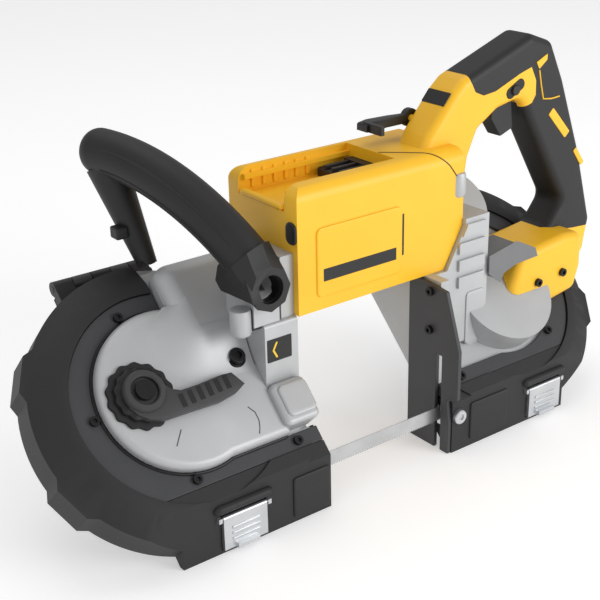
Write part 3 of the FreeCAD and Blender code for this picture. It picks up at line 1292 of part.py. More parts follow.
def hang_hook():
    x = hook_x()
    y0 = MOTOR_Y + HANDLE_HALF + RUN_GAP
    y1 = y0 + HOOK_THICK
    boss = rod(vec(x, y0, HOOK_Z), vec(x, y1, HOOK_Z), HOOK_R)
    arm = box(x - HOOK_REACH, x, y0, y1, HOOK_Z - HOOK_R / 2, HOOK_Z + HOOK_R / 2)
    tip = box(x - HOOK_REACH, x - HOOK_REACH + HOOK_R / 2, y0 - HOOK_THICK * 3, y1,
              HOOK_Z - HOOK_R / 2, HOOK_Z + HOOK_R / 2)
    bore = rod(vec(x, y0, HOOK_Z), vec(x, FAR, HOOK_Z), HOOK_PIN_R + FIT_GAP)
    return fuse(boss, arm, tip).cut(bore)


def hook_stud():
    """Moulded stud of the rear half shell that the hook turns on."""
    x = hook_x()
    y1 = MOTOR_Y + HANDLE_HALF + RUN_GAP + HOOK_THICK + RUN_GAP
    stem = rod(vec(x, MOTOR_Y + SWITCH_HALF + RUN_GAP, HOOK_Z), vec(x, y1, HOOK_Z), HOOK_PIN_R)
    head = rod(vec(x, y1, HOOK_Z), vec(x, y1 + HOOK_PIN_R / 2, HOOK_Z), HOOK_PIN_R * 2)
    return stem.fuse(head)


def tube_point(shares):
    """Place on the front handle, as shares of its three reaches."""
    return vec(TUBE_X + shares[0] * TUBE_SIDE, TUBE_Y + shares[1] * TUBE_REACH,
               TUBE_Z + shares[2] * TUBE_RISE)


def tube_curve():
    curve = Part.BSplineCurve()
    curve.interpolate([tube_point(p) for p in TUBE_SHARES])
    return curve


def handle_tube():
    """Thick grip along a smooth curve with a rounded far end."""
    curve = tube_curve()
    start = curve.FirstParameter
    profile = Part.Wire(Part.makeCircle(TUBE_R, curve.value(start), curve.tangent(start)[0]))
    bar = Part.Wire(curve.toShape()).makePipeShell([profile], True, False)
    end = tube_point(TUBE_SHARES[-1])
    return soften(bar, TUBE_R * ROUND_END_SHARE, lambda e: (e.CenterOfMass - end).Length < TUBE_R / 2)


def sleeve_ring(middle, heading, radius):
    """Regular outline square to a heading, with its corners counted from the level side."""
    side = heading.cross(vec(0, 0, 1)).normalize()
    over = side.cross(heading).normalize()
    turns = [2 * math.pi * i / SLEEVE_SIDES for i in range(SLEEVE_SIDES)]
    corners = [middle + side * (radius * math.cos(t)) + over * (radius * math.sin(t)) for t in turns]
    return Part.makePolygon(corners + corners[:1])


def handle_sleeve():
    """Grip whose lower end is cut off square and led by a faceted sleeve into a mouth that faces forward."""
    curve = tube_curve()
    at = curve.parameterAtDistance(SLEEVE_LENGTH, curve.FirstParameter)
    middle, heading = curve.value(at), curve.tangent(at)[0]
    mouth = vec(MOUTH_X, MOUTH_Y, MOUTH_Z)
    rings = [sleeve_ring(middle, heading, SLEEVE_R), sleeve_ring(mouth, vec(0, 1, 0), MOUTH_R)]
    reach = SLEEVE_LENGTH + SLEEVE_R
    tube = handle_tube().cut(rod(middle - heading * reach, middle, reach))
    return tube.fuse(Part.makeLoft(rings, True, True))


def handle_wedge():
    """Foot of the grip beside the tower."""
    points = spread(WEDGE_SHARES, (WEDGE_Y, WEDGE_Z), (WEDGE_REACH, WEDGE_RISE))
    return side_plate(points, WEDGE_OUT, WEDGE_IN)


def handle_leg():
    """Leg that narrows from the grip down to its seat on the lobe."""
    top, foot = tube_point(LEG_TOP_SHARES), tube_point(LEG_FOOT_SHARES)
    return Part.makeCone(LEG_TOP_R, LEG_R, (foot - top).Length, top, foot - top)


def front_handle():
    body = fuse(handle_sleeve(), handle_leg(), handle_wedge())
    bore = rod(vec(MOUTH_X, MOUTH_Y - OVERRUN, MOUTH_Z), vec(MOUTH_X, MOUTH_Y + TUBE_BORE_DEPTH, MOUTH_Z),
               TUBE_BORE_R)
    body = body.cut(bore)
    return cut(body, on_side(lobe(0, -FAR, LIP_N), -1), left_gusset(), tension_cover())


def handle_bracket():
    block = box(BRACKET_OUT, BRACKET_IN, BRACKET_FRONT, BRACKET_BACK, STOP_HEIGHT, LEFT_TOWER_TOP)
    return largest(cut(block, handle_sleeve(), handle_wedge(), left_gusset(), tension_cover()))


def pieces():
    body = body_solid()
    made = {
        "frame_casting": fuse(frame_casting(), right_gusset()),
        "return_run_cover": return_run_cover(),
        "bumper_left": bumper(-1),
        "bumper_right": bumper(1),
        "ring_flange_left": ring_flange(-1),
        "ring_flange_right": ring_flange(1),
        "cap_screws": Part.makeCompound(flange_screws() + stop_screws() + foot_screws()),
        "hinge_bar_left": hinge_bar(-1),
        "hinge_bar_right": hinge_bar(1),
        "guard_hinge_pins": guard_hinge_pins(),
        "wheel_guard_left": wheel_guard(-1),
        "wheel_guard_right": wheel_guard(1),
        "latch_mounts": latch_mounts(),
        "latch_left": latch(-1),
        "latch_right": latch(1),
        "tension_cover": tension_cover(),
        "tension_lever": tension_lever(),
        "lever_bolt": lever_bolt(),
        "tension_carriage": tension_carriage(),
        "tension_spring": tension_spring(),
        "idler_axle": idler_axle(),
        "idler_bearings": idler_bearings(),
        "idler_wheel": wheel(-WHEEL_X, BEARING_R),
        "idler_tyre": tyre(-WHEEL_X),
        "gear_case": gear_case(),
        "shaft_bearings": shaft_bearings(),
        "drive_wheel": wheel(WHEEL_X, AXLE_R),
        "drive_tyre": tyre(WHEEL_X),
        "drive_shaft": drive_shaft(),
        "final_gear": final_gear(),
        "second_shaft": fuse(second_shaft(), second_pinion()),
        "second_gear": second_gear(),
        "first_shaft": fuse(first_shaft(), first_pinion()),
        "bevel_gear": bevel_gear(),
        "motor_rotor": fuse(motor_rotor(), bevel_pinion()),
        "motor_stator": motor_stator(),
        "motor_bearings": motor_bearings(),
        "blade": blade(),
        "guide_bracket_left": guide_bracket(-1),
        "guide_bracket_right": guide_bracket(1),
        "guide_pins": guide_pins(),
        "work_stop": work_stop(),
        "left_gusset": fuse(left_gusset(), handle_bracket()),
        "housing_front": housing_half(body, True),
        "housing_rear": housing_half(body, False),
        "grip_skin_front": grip_skin(True),
        "grip_skin_rear": grip_skin(False),
        "terminal_block": terminal_block(),
        "switch_body": switch_body(),
        "trigger": trigger(),
        "lock_off_button": lock_off_button(),
        "hang_hook": hang_hook(),
        "front_handle": front_handle(),
    }
    for name, side in (("left", -1), ("right", 1)):
        made["front_roller_" + name] = side_roller(side, -1)
        made["rear_roller_" + name] = side_roller(side, 1)
        made["backup_roller_" + name] = backup_roller(side)
    return made


os.makedirs("parts", exist_ok=True)
for node, shape in pieces().items():
    shape.translate(vec(-ORIGIN_X, -ORIGIN_Y, 0))
    shape.exportStep("parts/" + node + ".step")
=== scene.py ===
import math

import bmesh
import bpy
import numpy as np
from mathutils import Matrix, Vector


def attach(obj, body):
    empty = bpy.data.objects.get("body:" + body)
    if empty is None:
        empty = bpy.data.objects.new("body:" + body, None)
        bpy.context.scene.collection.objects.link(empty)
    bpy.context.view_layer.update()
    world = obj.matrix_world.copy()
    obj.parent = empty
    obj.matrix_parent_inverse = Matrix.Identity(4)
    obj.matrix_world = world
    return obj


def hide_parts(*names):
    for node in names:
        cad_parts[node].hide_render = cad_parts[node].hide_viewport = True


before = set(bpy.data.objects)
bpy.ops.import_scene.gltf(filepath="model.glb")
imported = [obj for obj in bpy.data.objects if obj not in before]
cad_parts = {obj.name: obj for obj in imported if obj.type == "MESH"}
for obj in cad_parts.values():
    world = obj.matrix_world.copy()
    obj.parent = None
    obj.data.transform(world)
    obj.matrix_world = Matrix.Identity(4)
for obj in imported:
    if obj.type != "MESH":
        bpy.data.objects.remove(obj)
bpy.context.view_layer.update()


# Deck casting: the leaning aluminium frame that carries both wheels, the return run and the
# right-hand web. Die-cast, shot-blasted and powder-coated silver; the idler's carriage slides in it.
SHIFT = np.array((8.57, 93.47, 0.0))


def place(x, y, z):
    """Metres in the shared frame of a drawing place in millimetres: (place - SHIFT) / 1000."""
    return (np.stack(np.broadcast_arrays(x, y, z), -1).astype(float) - SHIFT) / 1000


def on_deck(x, w, n):
    """Place on the deck, which leans back 45 degrees: y = (w - n) / sqrt 2, z = (w + n) / sqrt 2."""
    w = np.asarray(w, float)
    return place(x, (w - n) / math.sqrt(2), (w + n) / math.sqrt(2))


def linear(code):
    """Linear RGBA of an sRGB hex colour: ((c + 0.055) / 1.055) ** 2.4 above the toe."""
    c = np.array([int(code[i:i + 2], 16) for i in (1, 3, 5)]) / 255
    c = np.where(c > 0.04045, ((c + 0.055) / 1.055) ** 2.4, c / 12.92)
    return (*c, 1.0)


def add(tree, kind, values, **links):
    """Adds one node: values set its settings or sockets, links join outputs to its sockets."""
    made = tree.nodes.new(kind)
    for key, value in values.items():
        if isinstance(key, str) and hasattr(made, key):
            setattr(made, key, value)
        else:
            made.inputs[key].default_value = value
    for key, source in links.items():
        tree.links.new(source, made.inputs[int(key[1:]) if key[0] == "_" else key])
    return made


def surface(name, light, dark, mottle_mm, grain_mm, depth_mm, rough, metallic=0.0, **shader):
    """Material whose colour mottles between two tones, with a fine grain in bump and roughness.
    The noise scales are 1000 / size in millimetres, because Object coordinates are metres."""
    made = bpy.data.materials.new(name)
    made.use_nodes = True
    tree = made.node_tree
    tree.nodes.clear()
    where = add(tree, "ShaderNodeTexCoord", {}).outputs["Object"]
    mottle = add(tree, "ShaderNodeTexNoise", {"Scale": 1000 / mottle_mm, "Detail": 3.0}, Vector=where)
    grain = add(tree, "ShaderNodeTexNoise", {"Scale": 1000 / grain_mm, "Detail": 2.0}, Vector=where)
    tone = add(tree, "ShaderNodeMix", {"data_type": "RGBA", 6: linear(dark), 7: linear(light)},
               _0=mottle.outputs["Fac"])
    gloss = add(tree, "ShaderNodeMapRange", {"To Min": rough[0], "To Max": rough[1]},
                Value=grain.outputs["Fac"])
    bump = add(tree, "ShaderNodeBump", {"Strength": 1.0, "Distance": depth_mm / 1000},
               Height=grain.outputs["Fac"])
    skin = add(tree, "ShaderNodeBsdfPrincipled", {"Metallic": metallic, **shader},
               **{"Base Color": tone.outputs[2], "Roughness": gloss.outputs[0], "Normal": bump.outputs[0]})
    add(tree, "ShaderNodeOutputMaterial", {}, Surface=skin.outputs[0])
    return made


# powder coat over a casting: pale grey, a soft sheen and a fine orange peel
silver_coat = surface("silver_powder_coated_aluminium", "#C2C3C4", "#B2B4B5",
                      mottle_mm=35, grain_mm=0.9, depth_mm=0.05, rough=(0.46, 0.58), metallic=0.4)


def dress(material, *nodes):
    """Gives CAD nodes a material in all of their slots."""
    for name in nodes:
        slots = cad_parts[name].data.materials
        slots.clear()
        slots.append(material)


dress(silver_coat, "frame_casting", "tension_carriage")


# Return-run cover and wheel guards: pressed steel plates at the back, dark grey paint with a fine
# texture. The cover is fixed to the casting; the guards hang on hinge pins and swing back.
dark_paint = surface("dark_grey_painted_steel", "#3B3C3E", "#333436",
                     mottle_mm=30, grain_mm=0.7, depth_mm=0.04, rough=(0.42, 0.55))


def linked(mesh, material, sharp):
    """Object of a mesh in one material, shaded smooth but for edges that turn by more than sharp degrees."""
    mesh.materials.clear()
    mesh.materials.append(material)
    mesh.polygons.foreach_set("use_smooth", np.ones(len(mesh.polygons), bool))
    mesh.set_sharp_from_angle(angle=math.radians(sharp))
    piece = bpy.data.objects.new(mesh.name, mesh)
    bpy.context.scene.collection.objects.link(piece)
    return piece


def rounded_copy(node, body, material, round_mm, sharp=32):
    """Piece that stands for a CAD node: its mesh with seams merged, flats joined and edges rounded."""
    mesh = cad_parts[node].data.copy()
    mesh.name = node + "_rounded"
    if "custom_normal" in mesh.attributes:
        mesh.attributes.remove(mesh.attributes["custom_normal"])
    work = bmesh.new()
    work.from_mesh(mesh)
    bmesh.ops.remove_doubles(work, verts=work.verts, dist=2e-6)
    bmesh.ops.dissolve_limit(work, angle_limit=math.radians(0.6), verts=work.verts, edges=work.edges)
    work.to_mesh(mesh)
    work.free()
    piece = linked(mesh, material, sharp)
    edge = piece.modifiers.new("edge", "BEVEL")
    edge.width, edge.segments, edge.limit_method = round_mm / 1000, 2, "ANGLE"
    edge.angle_limit = math.radians(sharp)
    edge.harden_normals = True
    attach(piece, body)
    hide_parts(node)
    return piece


dress(dark_paint, "return_run_cover")
rounded_copy("wheel_guard_left", "guard_left", dark_paint, round_mm=0.8)
rounded_copy("wheel_guard_right", "guard_right", dark_paint, round_mm=0.8)


# Bumpers: thick overmould round both lobes with angular knuckles, a brow over each latch and a
# raised panel beside it. Moulded rubber-like TPE with a matt texture, bonded to the casting.
LATCHES = (("left", -151.0), ("right", 179.0))
black_rubber = surface("moulded_black_tpe_rubber", "#1E1E1F", "#181819",
                       mottle_mm=25, grain_mm=1.1, depth_mm=0.06, rough=(0.5, 0.66))
for side in ("left", "right"):
    rounded_copy("bumper_" + side, "frame", black_rubber, round_mm=2.2)


def mesh_piece(name, grid, body, material, around=True, caps=True, sharp=40, edge_mm=0.0):
    """Piece from a grid of places [rows, columns]: quads join neighbours, around joins the last
    column to the first, and caps close the first and last rows with one face each."""
    rows, columns = grid.shape[:2]
    index = np.arange(rows * columns).reshape(rows, columns)
    if around:
        index = np.concatenate((index, index[:, :1]), 1)
    quads = np.stack((index[:-1, :-1], index[:-1, 1:], index[1:, 1:], index[1:, :-1]), -1)
    faces = quads.reshape(-1, 4).tolist()
    if caps:
        faces += [index[0, :columns][::-1].tolist(), index[-1, :columns].tolist()]
    mesh = bpy.data.meshes.new(name)
    mesh.from_pydata(grid.reshape(-1, 3).tolist(), [], faces)
    work = bmesh.new()
    work.from_mesh(mesh)
    bmesh.ops.remove_doubles(work, verts=work.verts, dist=1e-6)
    bmesh.ops.recalc_face_normals(work, faces=work.faces)
    work.to_mesh(mesh)
    work.free()
    piece = linked(mesh, material, sharp)
    if edge_mm:
        edge = piece.modifiers.new("edge", "BEVEL")
        edge.width, edge.segments, edge.limit_method = edge_mm / 1000, 2, "ANGLE"
    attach(piece, body)
    return piece


def bar(path, radius_mm, squash=1.0, up=(0, 0, 1), sides=16):
    """Round bar along a path: at each path place a circle of that radius, flattened by squash along up,
    in the plane square to the path; the ends close in a quarter circle down to 2 % of the radius."""
    path = np.asarray(path, float)
    radius = np.broadcast_to(np.asarray(radius_mm, float) / 1000, (len(path),))
    t = np.gradient(path, axis=0)
    t /= np.linalg.norm(t, axis=1, keepdims=True)
    u = np.cross(t, np.asarray(up, float))
    u /= np.linalg.norm(u, axis=1, keepdims=True)
    v = np.cross(u, t)
    bend = np.radians(np.array((0, 30, 60)))
    first = path[0] - t[0] * (radius[0] * np.cos(bend))[:, None]
    last = path[-1] + t[-1] * (radius[-1] * np.cos(bend[::-1]))[:, None]
    spine = np.concatenate((first, path, last))
    shrink = np.maximum(np.sin(bend), 0.02)
    size = np.concatenate((radius[0] * shrink, radius, radius[-1] * shrink[::-1]))
    u = np.concatenate((np.repeat(u[:1], 3, 0), u, np.repeat(u[-1:], 3, 0)))
    v = np.concatenate((np.repeat(v[:1], 3, 0), v, np.repeat(v[-1:], 3, 0)))
    a = np.linspace(0, 2 * np.pi, sides, endpoint=False)
    ring = u[:, None] * np.cos(a)[None, :, None] + v[:, None] * (squash * np.sin(a))[None, :, None]
    return spine[:, None] + ring * size[:, None, None]


for side, middle in LATCHES:
    roll = bar(place(np.linspace(middle - 22, middle + 22, 9), 0.5, 39.0), radius_mm=5.0, squash=0.8)
    mesh_piece("latch_brow_" + side, roll, "frame", black_rubber)


def front_face(y):
    """Maps (across, up, out) on to the upright face at depth y."""
    return lambda a, b, c: place(a, y - c, b)


def raised_plate(at, middle, size, corner, lift, ease):
    """Raised plate with a rounded rectangle outline: row by row the outline draws in by ease(1 - cos a)
    while it rises to lift - ease(1 - sin a), a quarter round. It starts 0.3 mm under its face, and
    at(a, b, c) puts it there."""
    a = np.radians(np.linspace(0, 90, 5))
    inset = np.concatenate(((0.0,), ease * (1 - np.cos(a)), (ease + corner / 2,)))[:, None, None]
    rise = np.concatenate(((-0.3,), lift - ease * (1 - np.sin(a)), (lift,)))
    turn = np.radians(np.linspace(0, 90, 7)[None, :] + np.array((0, 90, 180, 270))[:, None])
    sign_a = np.array((1, -1, -1, 1))[:, None]
    sign_b = np.array((1, 1, -1, -1))[:, None]
    r = np.maximum(corner - inset, 0.05)
    a = middle[0] + sign_a * (size[0] / 2 - inset - r) + r * np.cos(turn)
    b = middle[1] + sign_b * (size[1] / 2 - inset - r) + r * np.sin(turn)
    return at(a.reshape(len(rise), -1), b.reshape(len(rise), -1), rise[:, None])


for side, middle, wide in (("left", (-86.0, 22.0), 36), ("right", (110.0, 24.0), 46)):
    panel = raised_plate(front_face(0.0), middle, (wide, 36), corner=3.0, lift=1.6, ease=1.4)
    mesh_piece("bumper_panel_" + side, panel, "frame", black_rubber)


# Ring flanges: dark stamped rings screwed on the deck round each cover, with a black gasket line
# beside the left cover. The screws are black oxide steel, and so are the hinge and guide pins, the
# lever's bolt and the tension spring.
IDLER = (-165.25, 124.0)
GASKET_R, GASKET_W, GASKET_N = 66.9, 59.8, 34.2
DECK_OUT = (0.0, -math.sqrt(0.5), math.sqrt(0.5))
dark_steel = surface("black_oxide_steel", "#2A2A2B", "#1E1E1F",
                     mottle_mm=12, grain_mm=0.4, depth_mm=0.02, rough=(0.3, 0.42), metallic=0.6)
rounded_copy("ring_flange_left", "frame", dark_paint, round_mm=0.6)
rounded_copy("ring_flange_right", "frame", dark_paint, round_mm=0.6)


def gasket_line():
    """Line on the flange round the cover: the arc IDLER + r (cos a, sin a), then straight to the right."""
    a = np.radians(np.linspace(84, 284, 72))
    x = np.concatenate((IDLER[0] + GASKET_R * np.cos(a), np.linspace(-146.0, -96.0, 20)))
    w = np.concatenate((IDLER[1] + GASKET_R * np.sin(a), np.full(20, GASKET_W)))
    return on_deck(x, w, GASKET_N)


gasket = bar(gasket_line(), radius_mm=1.6, squash=0.8, up=DECK_OUT, sides=10)
mesh_piece("cover_gasket", gasket, "frame", dark_steel)
dress(dark_steel, "cap_screws", "lever_bolt", "guard_hinge_pins", "guide_pins", "tension_spring")


# Hinge bars: knuckles at the top of each lobe that carry the guards on their pins. Moulded black
# glass-filled nylon, fixed to the casting.
black_plastic = surface("moulded_black_glass_filled_nylon", "#1D1D1E", "#171718",
                        mottle_mm=20, grain_mm=0.8, depth_mm=0.04, rough=(0.4, 0.55))
for side in ("left", "right"):
    rounded_copy("hinge_bar_" + side, "frame", black_plastic, round_mm=0.5)


# Latches: bright flaps with three pressed ribs each. Zinc-plated sheet steel, turning on pins in
# the bumpers' pockets.
LATCH_FRONT = -3.3
zinc = surface("zinc_plated_steel", "#D6D8DA", "#BFC1C4",
               mottle_mm=18, grain_mm=0.5, depth_mm=0.02, rough=(0.24, 0.36), metallic=0.85)
dress(zinc, "latch_mounts")
for side, middle in LATCHES:
    rounded_copy("latch_" + side, "latch_" + side, zinc, round_mm=0.7)
    for k, z in enumerate((12.0, 17.0, 22.0)):
        rib = raised_plate(front_face(LATCH_FRONT), (middle, z), (26, 2.4), corner=1.1, lift=0.9, ease=0.6)
        mesh_piece(f"latch_{side}_rib_{k}", rib, "latch_" + side, zinc)


# Tension cover: silver casting over the idler's carriage, with a shoulder that a dished blend leads
# up to, a thumb pad with a raised panel, two scored lines and a black tracking screw.
COVER_TOP, PAD_TOP, SCREW_SEAT = 44.0, 50.0, 42.0
TURN_X, TURN_W, TURN_R = -133.0, 161.0, 15.0
DISH_DOWN, DISH_RIGHT, DISH_OUT, DISH_IN, DISH_RISE, DISH_SUNK = 27.0, 34.0, 28.0, 14.8, 10.4, 3.0
SCORES = (((-181, 91.6), (-185.4, 86.4), (-189.6, 81.3)),
          ((-121, 90.5), (-117.4, 84.9), (-117.3, 78), (-119.2, 72.6), (-121.9, 68)))
rounded_copy("tension_cover", "frame", silver_coat, round_mm=1.2)


def deck_face(n):
    """Maps (across, up the deck, out) on to the deck at height n."""
    return lambda a, b, c: on_deck(a, b, n + c)


def turned(at, middle, profile, sides=40):
    """Turned piece: each (radius, height) of the profile becomes a circle round the middle; a radius
    of zero becomes 0.02 mm."""
    profile = np.asarray(profile, float)
    a = np.linspace(0, 2 * np.pi, sides, endpoint=False)
    r = np.maximum(profile[:, :1], 0.02)
    return at(middle[0] + r * np.cos(a), middle[1] + r * np.sin(a), profile[:, 1:])


def dish_surface():
    """Blend from the cover's flat to its shoulder. The shoulder's foot runs down, round a quarter turn
    and to the right. Across it, for v from 0 to 1, the surface goes from reach outside the foot to
    DISH_IN inside it and rises by DISH_RISE v v (3 - 2 v); a first row lies sunk in the flat."""
    u = np.linspace(0, 1, 12)
    a = np.radians(np.linspace(180, 270, 12))
    out_x = np.concatenate((np.full(12, -1.0), np.cos(a)[1:], np.zeros(11)))
    out_w = np.concatenate((np.zeros(12), np.sin(a)[1:], np.full(11, -1.0)))
    foot_x = TURN_X + TURN_R * out_x + np.concatenate((np.zeros(23), DISH_RIGHT * u[1:]))
    foot_w = TURN_W + TURN_R * out_w + np.concatenate((DISH_DOWN * (1 - u), np.zeros(22)))
    reach = np.concatenate((3 + (DISH_OUT - 3) * np.clip(u * 2, 0, 1), np.full(22, DISH_OUT)))
    v = np.concatenate(((0.0,), np.linspace(0, 1, 15)))[:, None]
    away = reach * (1 - v) - DISH_IN * v
    rise = COVER_TOP + DISH_RISE * v ** 2 * (3 - 2 * v)
    rise[0] -= DISH_SUNK
    return on_deck(foot_x + out_x * away, foot_w + out_w * away, rise)


mesh_piece("cover_dish", dish_surface(), "frame", silver_coat,
           around=False, caps=False, sharp=60)
for k, line in enumerate(SCORES):
    x, w = np.array(line).T
    score = bar(on_deck(x, w, COVER_TOP), radius_mm=0.4, up=DECK_OUT, sides=8)
    mesh_piece(f"cover_score_{k}", score, "frame", dark_paint)
panel = raised_plate(deck_face(PAD_TOP), (-81.0, 83.0), (27, 27), corner=5.0, lift=2.0, ease=1.6)
mesh_piece("pad_panel", panel, "frame", silver_coat)
screw = [(8.5, -2), (8.5, 3), (7.5, 4), (6.5, 4), (6.5, 7.5), (5.5, 8.5), (3.2, 8.5), (3.2, 6.5), (0, 6.5)]
screw = turned(deck_face(SCREW_SEAT), (-112.0, 131.0), screw)
mesh_piece("tracking_screw", screw, "frame", dark_steel)


# Tension lever: pointed, slotted arm with a hub ring over a black scalloped skirt. Moulded dark
# grey and black nylon, turning on a bolt in the cover.
LEVER = (-200.0, 126.0)
LEVER_TOP = 53.5
ARM = [(-119.2, 107.0), (-125.7, 118.8), (-134.4, 119.6), (-155.1, 118.4), (-171.1, 118.4), (-178.1, 121.8),
       (-184.6, 130.5), (-190.4, 136.5), (-200.5, 141.5), (-208.0, 139.8), (-213.6, 135.0), (-216.0, 127.0),
       (-215.0, 118.0), (-210.6, 110.5), (-204.0, 104.8), (-194.0, 101.3), (-180.9, 101.2), (-163.8, 100.9),
       (-144.4, 100.3), (-128.5, 102.8)]
HUB = [(16.6, 52.0), (16.6, 56.0), (15.4, 57.6), (12.0, 57.8), (11.0, 57.0), (10.6, 54.5), (0.0, 54.5)]
SKIRT = np.array(((1, 43.9), (1, 46.2), (0.985, 46.9), (0.93, 47.0), (0.82, 47.0), (0.8, 50.0), (0.76, 50.8),
                  (0.5, 51.0)))
SKIRT_R, SCALLOP, SCALLOPS = 26.4, 0.9, 14
grey_nylon = surface("moulded_grey_glass_filled_nylon", "#3A3A3B", "#323233",
                     mottle_mm=20, grain_mm=0.8, depth_mm=0.04, rough=(0.42, 0.56))
# Matt black for the lever's skirt; the same black is also painted shade in the lever's slots, the lock-off
# slot and the handle's mouth.
black_nylon_and_painted_shade = surface("matt_black_nylon_and_painted_shade", "#0E0E0E", "#0A0A0A",
                     mottle_mm=20, grain_mm=0.8, depth_mm=0.03, rough=(0.5, 0.6))


def plate(at, outline, heights, insets):
    """Plate with a drawn outline: each row lies at its height, drawn in along the outline's normals."""
    outline = np.asarray(outline, float)
    along = np.roll(outline, -1, 0) - np.roll(outline, 1, 0)
    along /= np.linalg.norm(along, axis=1, keepdims=True)
    inward = np.stack((-along[:, 1], along[:, 0]), 1)
    rows = outline[None] + inward[None] * np.asarray(insets, float)[:, None, None]
    return at(rows[..., 0], rows[..., 1], np.asarray(heights, float)[:, None])


def skirt_surface():
    """Scalloped skirt: each (share, height) row is the curve
    r = share (SKIRT_R + SCALLOP cos(SCALLOPS a)) round the lever's pivot."""
    a = np.linspace(0, 2 * np.pi, 96, endpoint=False)
    r = SKIRT[:, :1] * (SKIRT_R + SCALLOP * np.cos(SCALLOPS * a))
    return on_deck(LEVER[0] + r * np.cos(a), LEVER[1] + r * np.sin(a), SKIRT[:, 1:])


arm = plate(deck_face(0.0), ARM, heights=(47.2, 52.4, 53.4, 53.6), insets=(0, 0, 1.2, 2.4))
lever = mesh_piece("lever_arm", arm, "lever", grey_nylon, sharp=25)
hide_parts("tension_lever")
mesh_piece("lever_hub_ring", turned(deck_face(0.0), LEVER, HUB), "lever", grey_nylon)
mesh_piece("lever_skirt", skirt_surface(), "lever", black_nylon_and_painted_shade)
# The slots are flat black plates on the arm's top: painted shade standing for their depth.
for k in range(6):
    middle = (-174.0 + 8.1 * k, 110.3 + 0.45 * k)
    shade_slot = raised_plate(deck_face(LEVER_TOP), middle, (4.4, 11.0), corner=0.8, lift=0.25, ease=0.15)
    mesh_piece(f"lever_slot_painted_shade_{k}", shade_slot, "lever", black_nylon_and_painted_shade)


# Wheels and tyres: cast and machined aluminium wheels with rubber tyres pressed on their rims. They
# turn on their axles behind the deck and are seen when a guard is open.
bare_aluminium = surface("machined_aluminium", "#C9CBCD", "#B5B7BA",
                         mottle_mm=22, grain_mm=0.5, depth_mm=0.02, rough=(0.28, 0.42), metallic=0.9)
tyre_rubber = surface("black_tyre_rubber", "#2B2B2B", "#232323",
                      mottle_mm=15, grain_mm=0.6, depth_mm=0.03, rough=(0.6, 0.75))
dress(bare_aluminium, "idler_wheel", "drive_wheel")
dress(tyre_rubber, "idler_tyre", "drive_tyre")


# Drive train: ground steel shafts, hardened gears, bearings and the motor, with the idler's axle.
# They run in the gear case, the housing and the carriage, out of sight.
ground_steel = surface("ground_steel", "#C4C6C8", "#A9ABAE",
                       mottle_mm=10, grain_mm=0.3, depth_mm=0.01, rough=(0.2, 0.32), metallic=1.0)
dress(ground_steel, "drive_shaft", "final_gear", "second_shaft", "second_gear", "first_shaft", "bevel_gear",
      "motor_rotor", "motor_stator", "motor_bearings", "shaft_bearings", "idler_axle", "idler_bearings")


# Gear case: silver casting over the drive wheel, with cooling ribs, the motor's snout and a raised
# bare pad on its front wall. It sits on the deck.
CASE_FRONT = 34.0
rounded_copy("gear_case", "frame", silver_coat, round_mm=1.0)
pad = raised_plate(front_face(CASE_FRONT), (122.0, 103.0), (22, 50), corner=4.0, lift=1.2, ease=1.0)
mesh_piece("case_pad", pad, "frame", silver_coat)


# Blade: a loop of bright spring steel strip round both wheels, with a row of teeth along its lower
# edge in the throat.
TOOTH_PITCH, TOOTH_TIP, TOOTH_GULLET, TOOTH_ROOT = 2.5, 26.6, 27.7, 28.6
blade_steel = surface("ground_spring_steel_strip", "#CFD1D2", "#B4B6B8",
                      mottle_mm=14, grain_mm=0.4, depth_mm=0.01, rough=(0.25, 0.4), metallic=0.9)
dress(blade_steel, "blade")


def teeth_surface():
    """Strip of teeth: every half pitch its lower edge steps between gullet and tip, and four columns,
    root, edge, edge, root, go round its thickness."""
    x = np.arange(-60.0, 60.1, TOOTH_PITCH / 2)
    edge = np.where(np.arange(len(x)) % 2 == 0, TOOTH_GULLET, TOOTH_TIP)
    root = np.full_like(x, TOOTH_ROOT)
    return place(x[:, None], np.array((14.22, 14.28, 14.72, 14.78)), np.stack((root, edge, edge, root), 1))


mesh_piece("blade_teeth", teeth_surface(), "frame", blade_steel, sharp=20)


# Blade guides: pressed steel brackets on both sides of the throat, with hardened steel rollers on
# pins, and a bright screw on the right one.
for side in ("left", "right"):
    rounded_copy("guide_bracket_" + side, "frame", dark_steel, round_mm=0.4)
    dress(ground_steel, "front_roller_" + side, "rear_roller_" + side, "backup_roller_" + side)
screw = [(6.5, -1.0), (6.5, 3.0), (5.8, 3.8), (3.0, 3.8), (3.0, 2.6), (0, 2.6)]
screw = turned(front_face(0.0), (73.5, 34.0), screw)
mesh_piece("guide_screw", screw, "frame", zinc)


# Work stop: the plate at the right of the throat that the work rests against, with a slot for the
# blade. Dark grey painted steel, screwed to the web.
rounded_copy("work_stop", "frame", dark_paint, round_mm=0.7)


# Left tower: silver cast web from the deck up to the motor housing, with a round boss and a black
# plug. A plain black film label with a yellow chevron is stuck on its front face.
TOWER_FRONT, PLUG_SEAT = 40.0, 45.0
BOSS = [(6.0, 148.0), (7.6, 149.0), (8.4, 151.0), (8.4, 168.0), (8.0, 170.0), (5.0, 171.0)]
label_film = surface("black_label_film", "#161616", "#101010",
                     mottle_mm=20, grain_mm=0.6, depth_mm=0.004, rough=(0.3, 0.36))
yellow_film = surface("yellow_label_film", "#F2CE3A", "#EFC931",
                      mottle_mm=20, grain_mm=0.6, depth_mm=0.004, rough=(0.3, 0.36))
rounded_copy("left_gusset", "frame", silver_coat, round_mm=1.2)
mesh_piece("tower_boss", turned(place, (-114.0, 49.0), BOSS), "frame", silver_coat)
plug = raised_plate(front_face(PLUG_SEAT), (-102.0, 160.0), (10, 18), corner=2.0, lift=1.5, ease=1.2)
mesh_piece("tower_plug", plug, "frame", black_plastic)
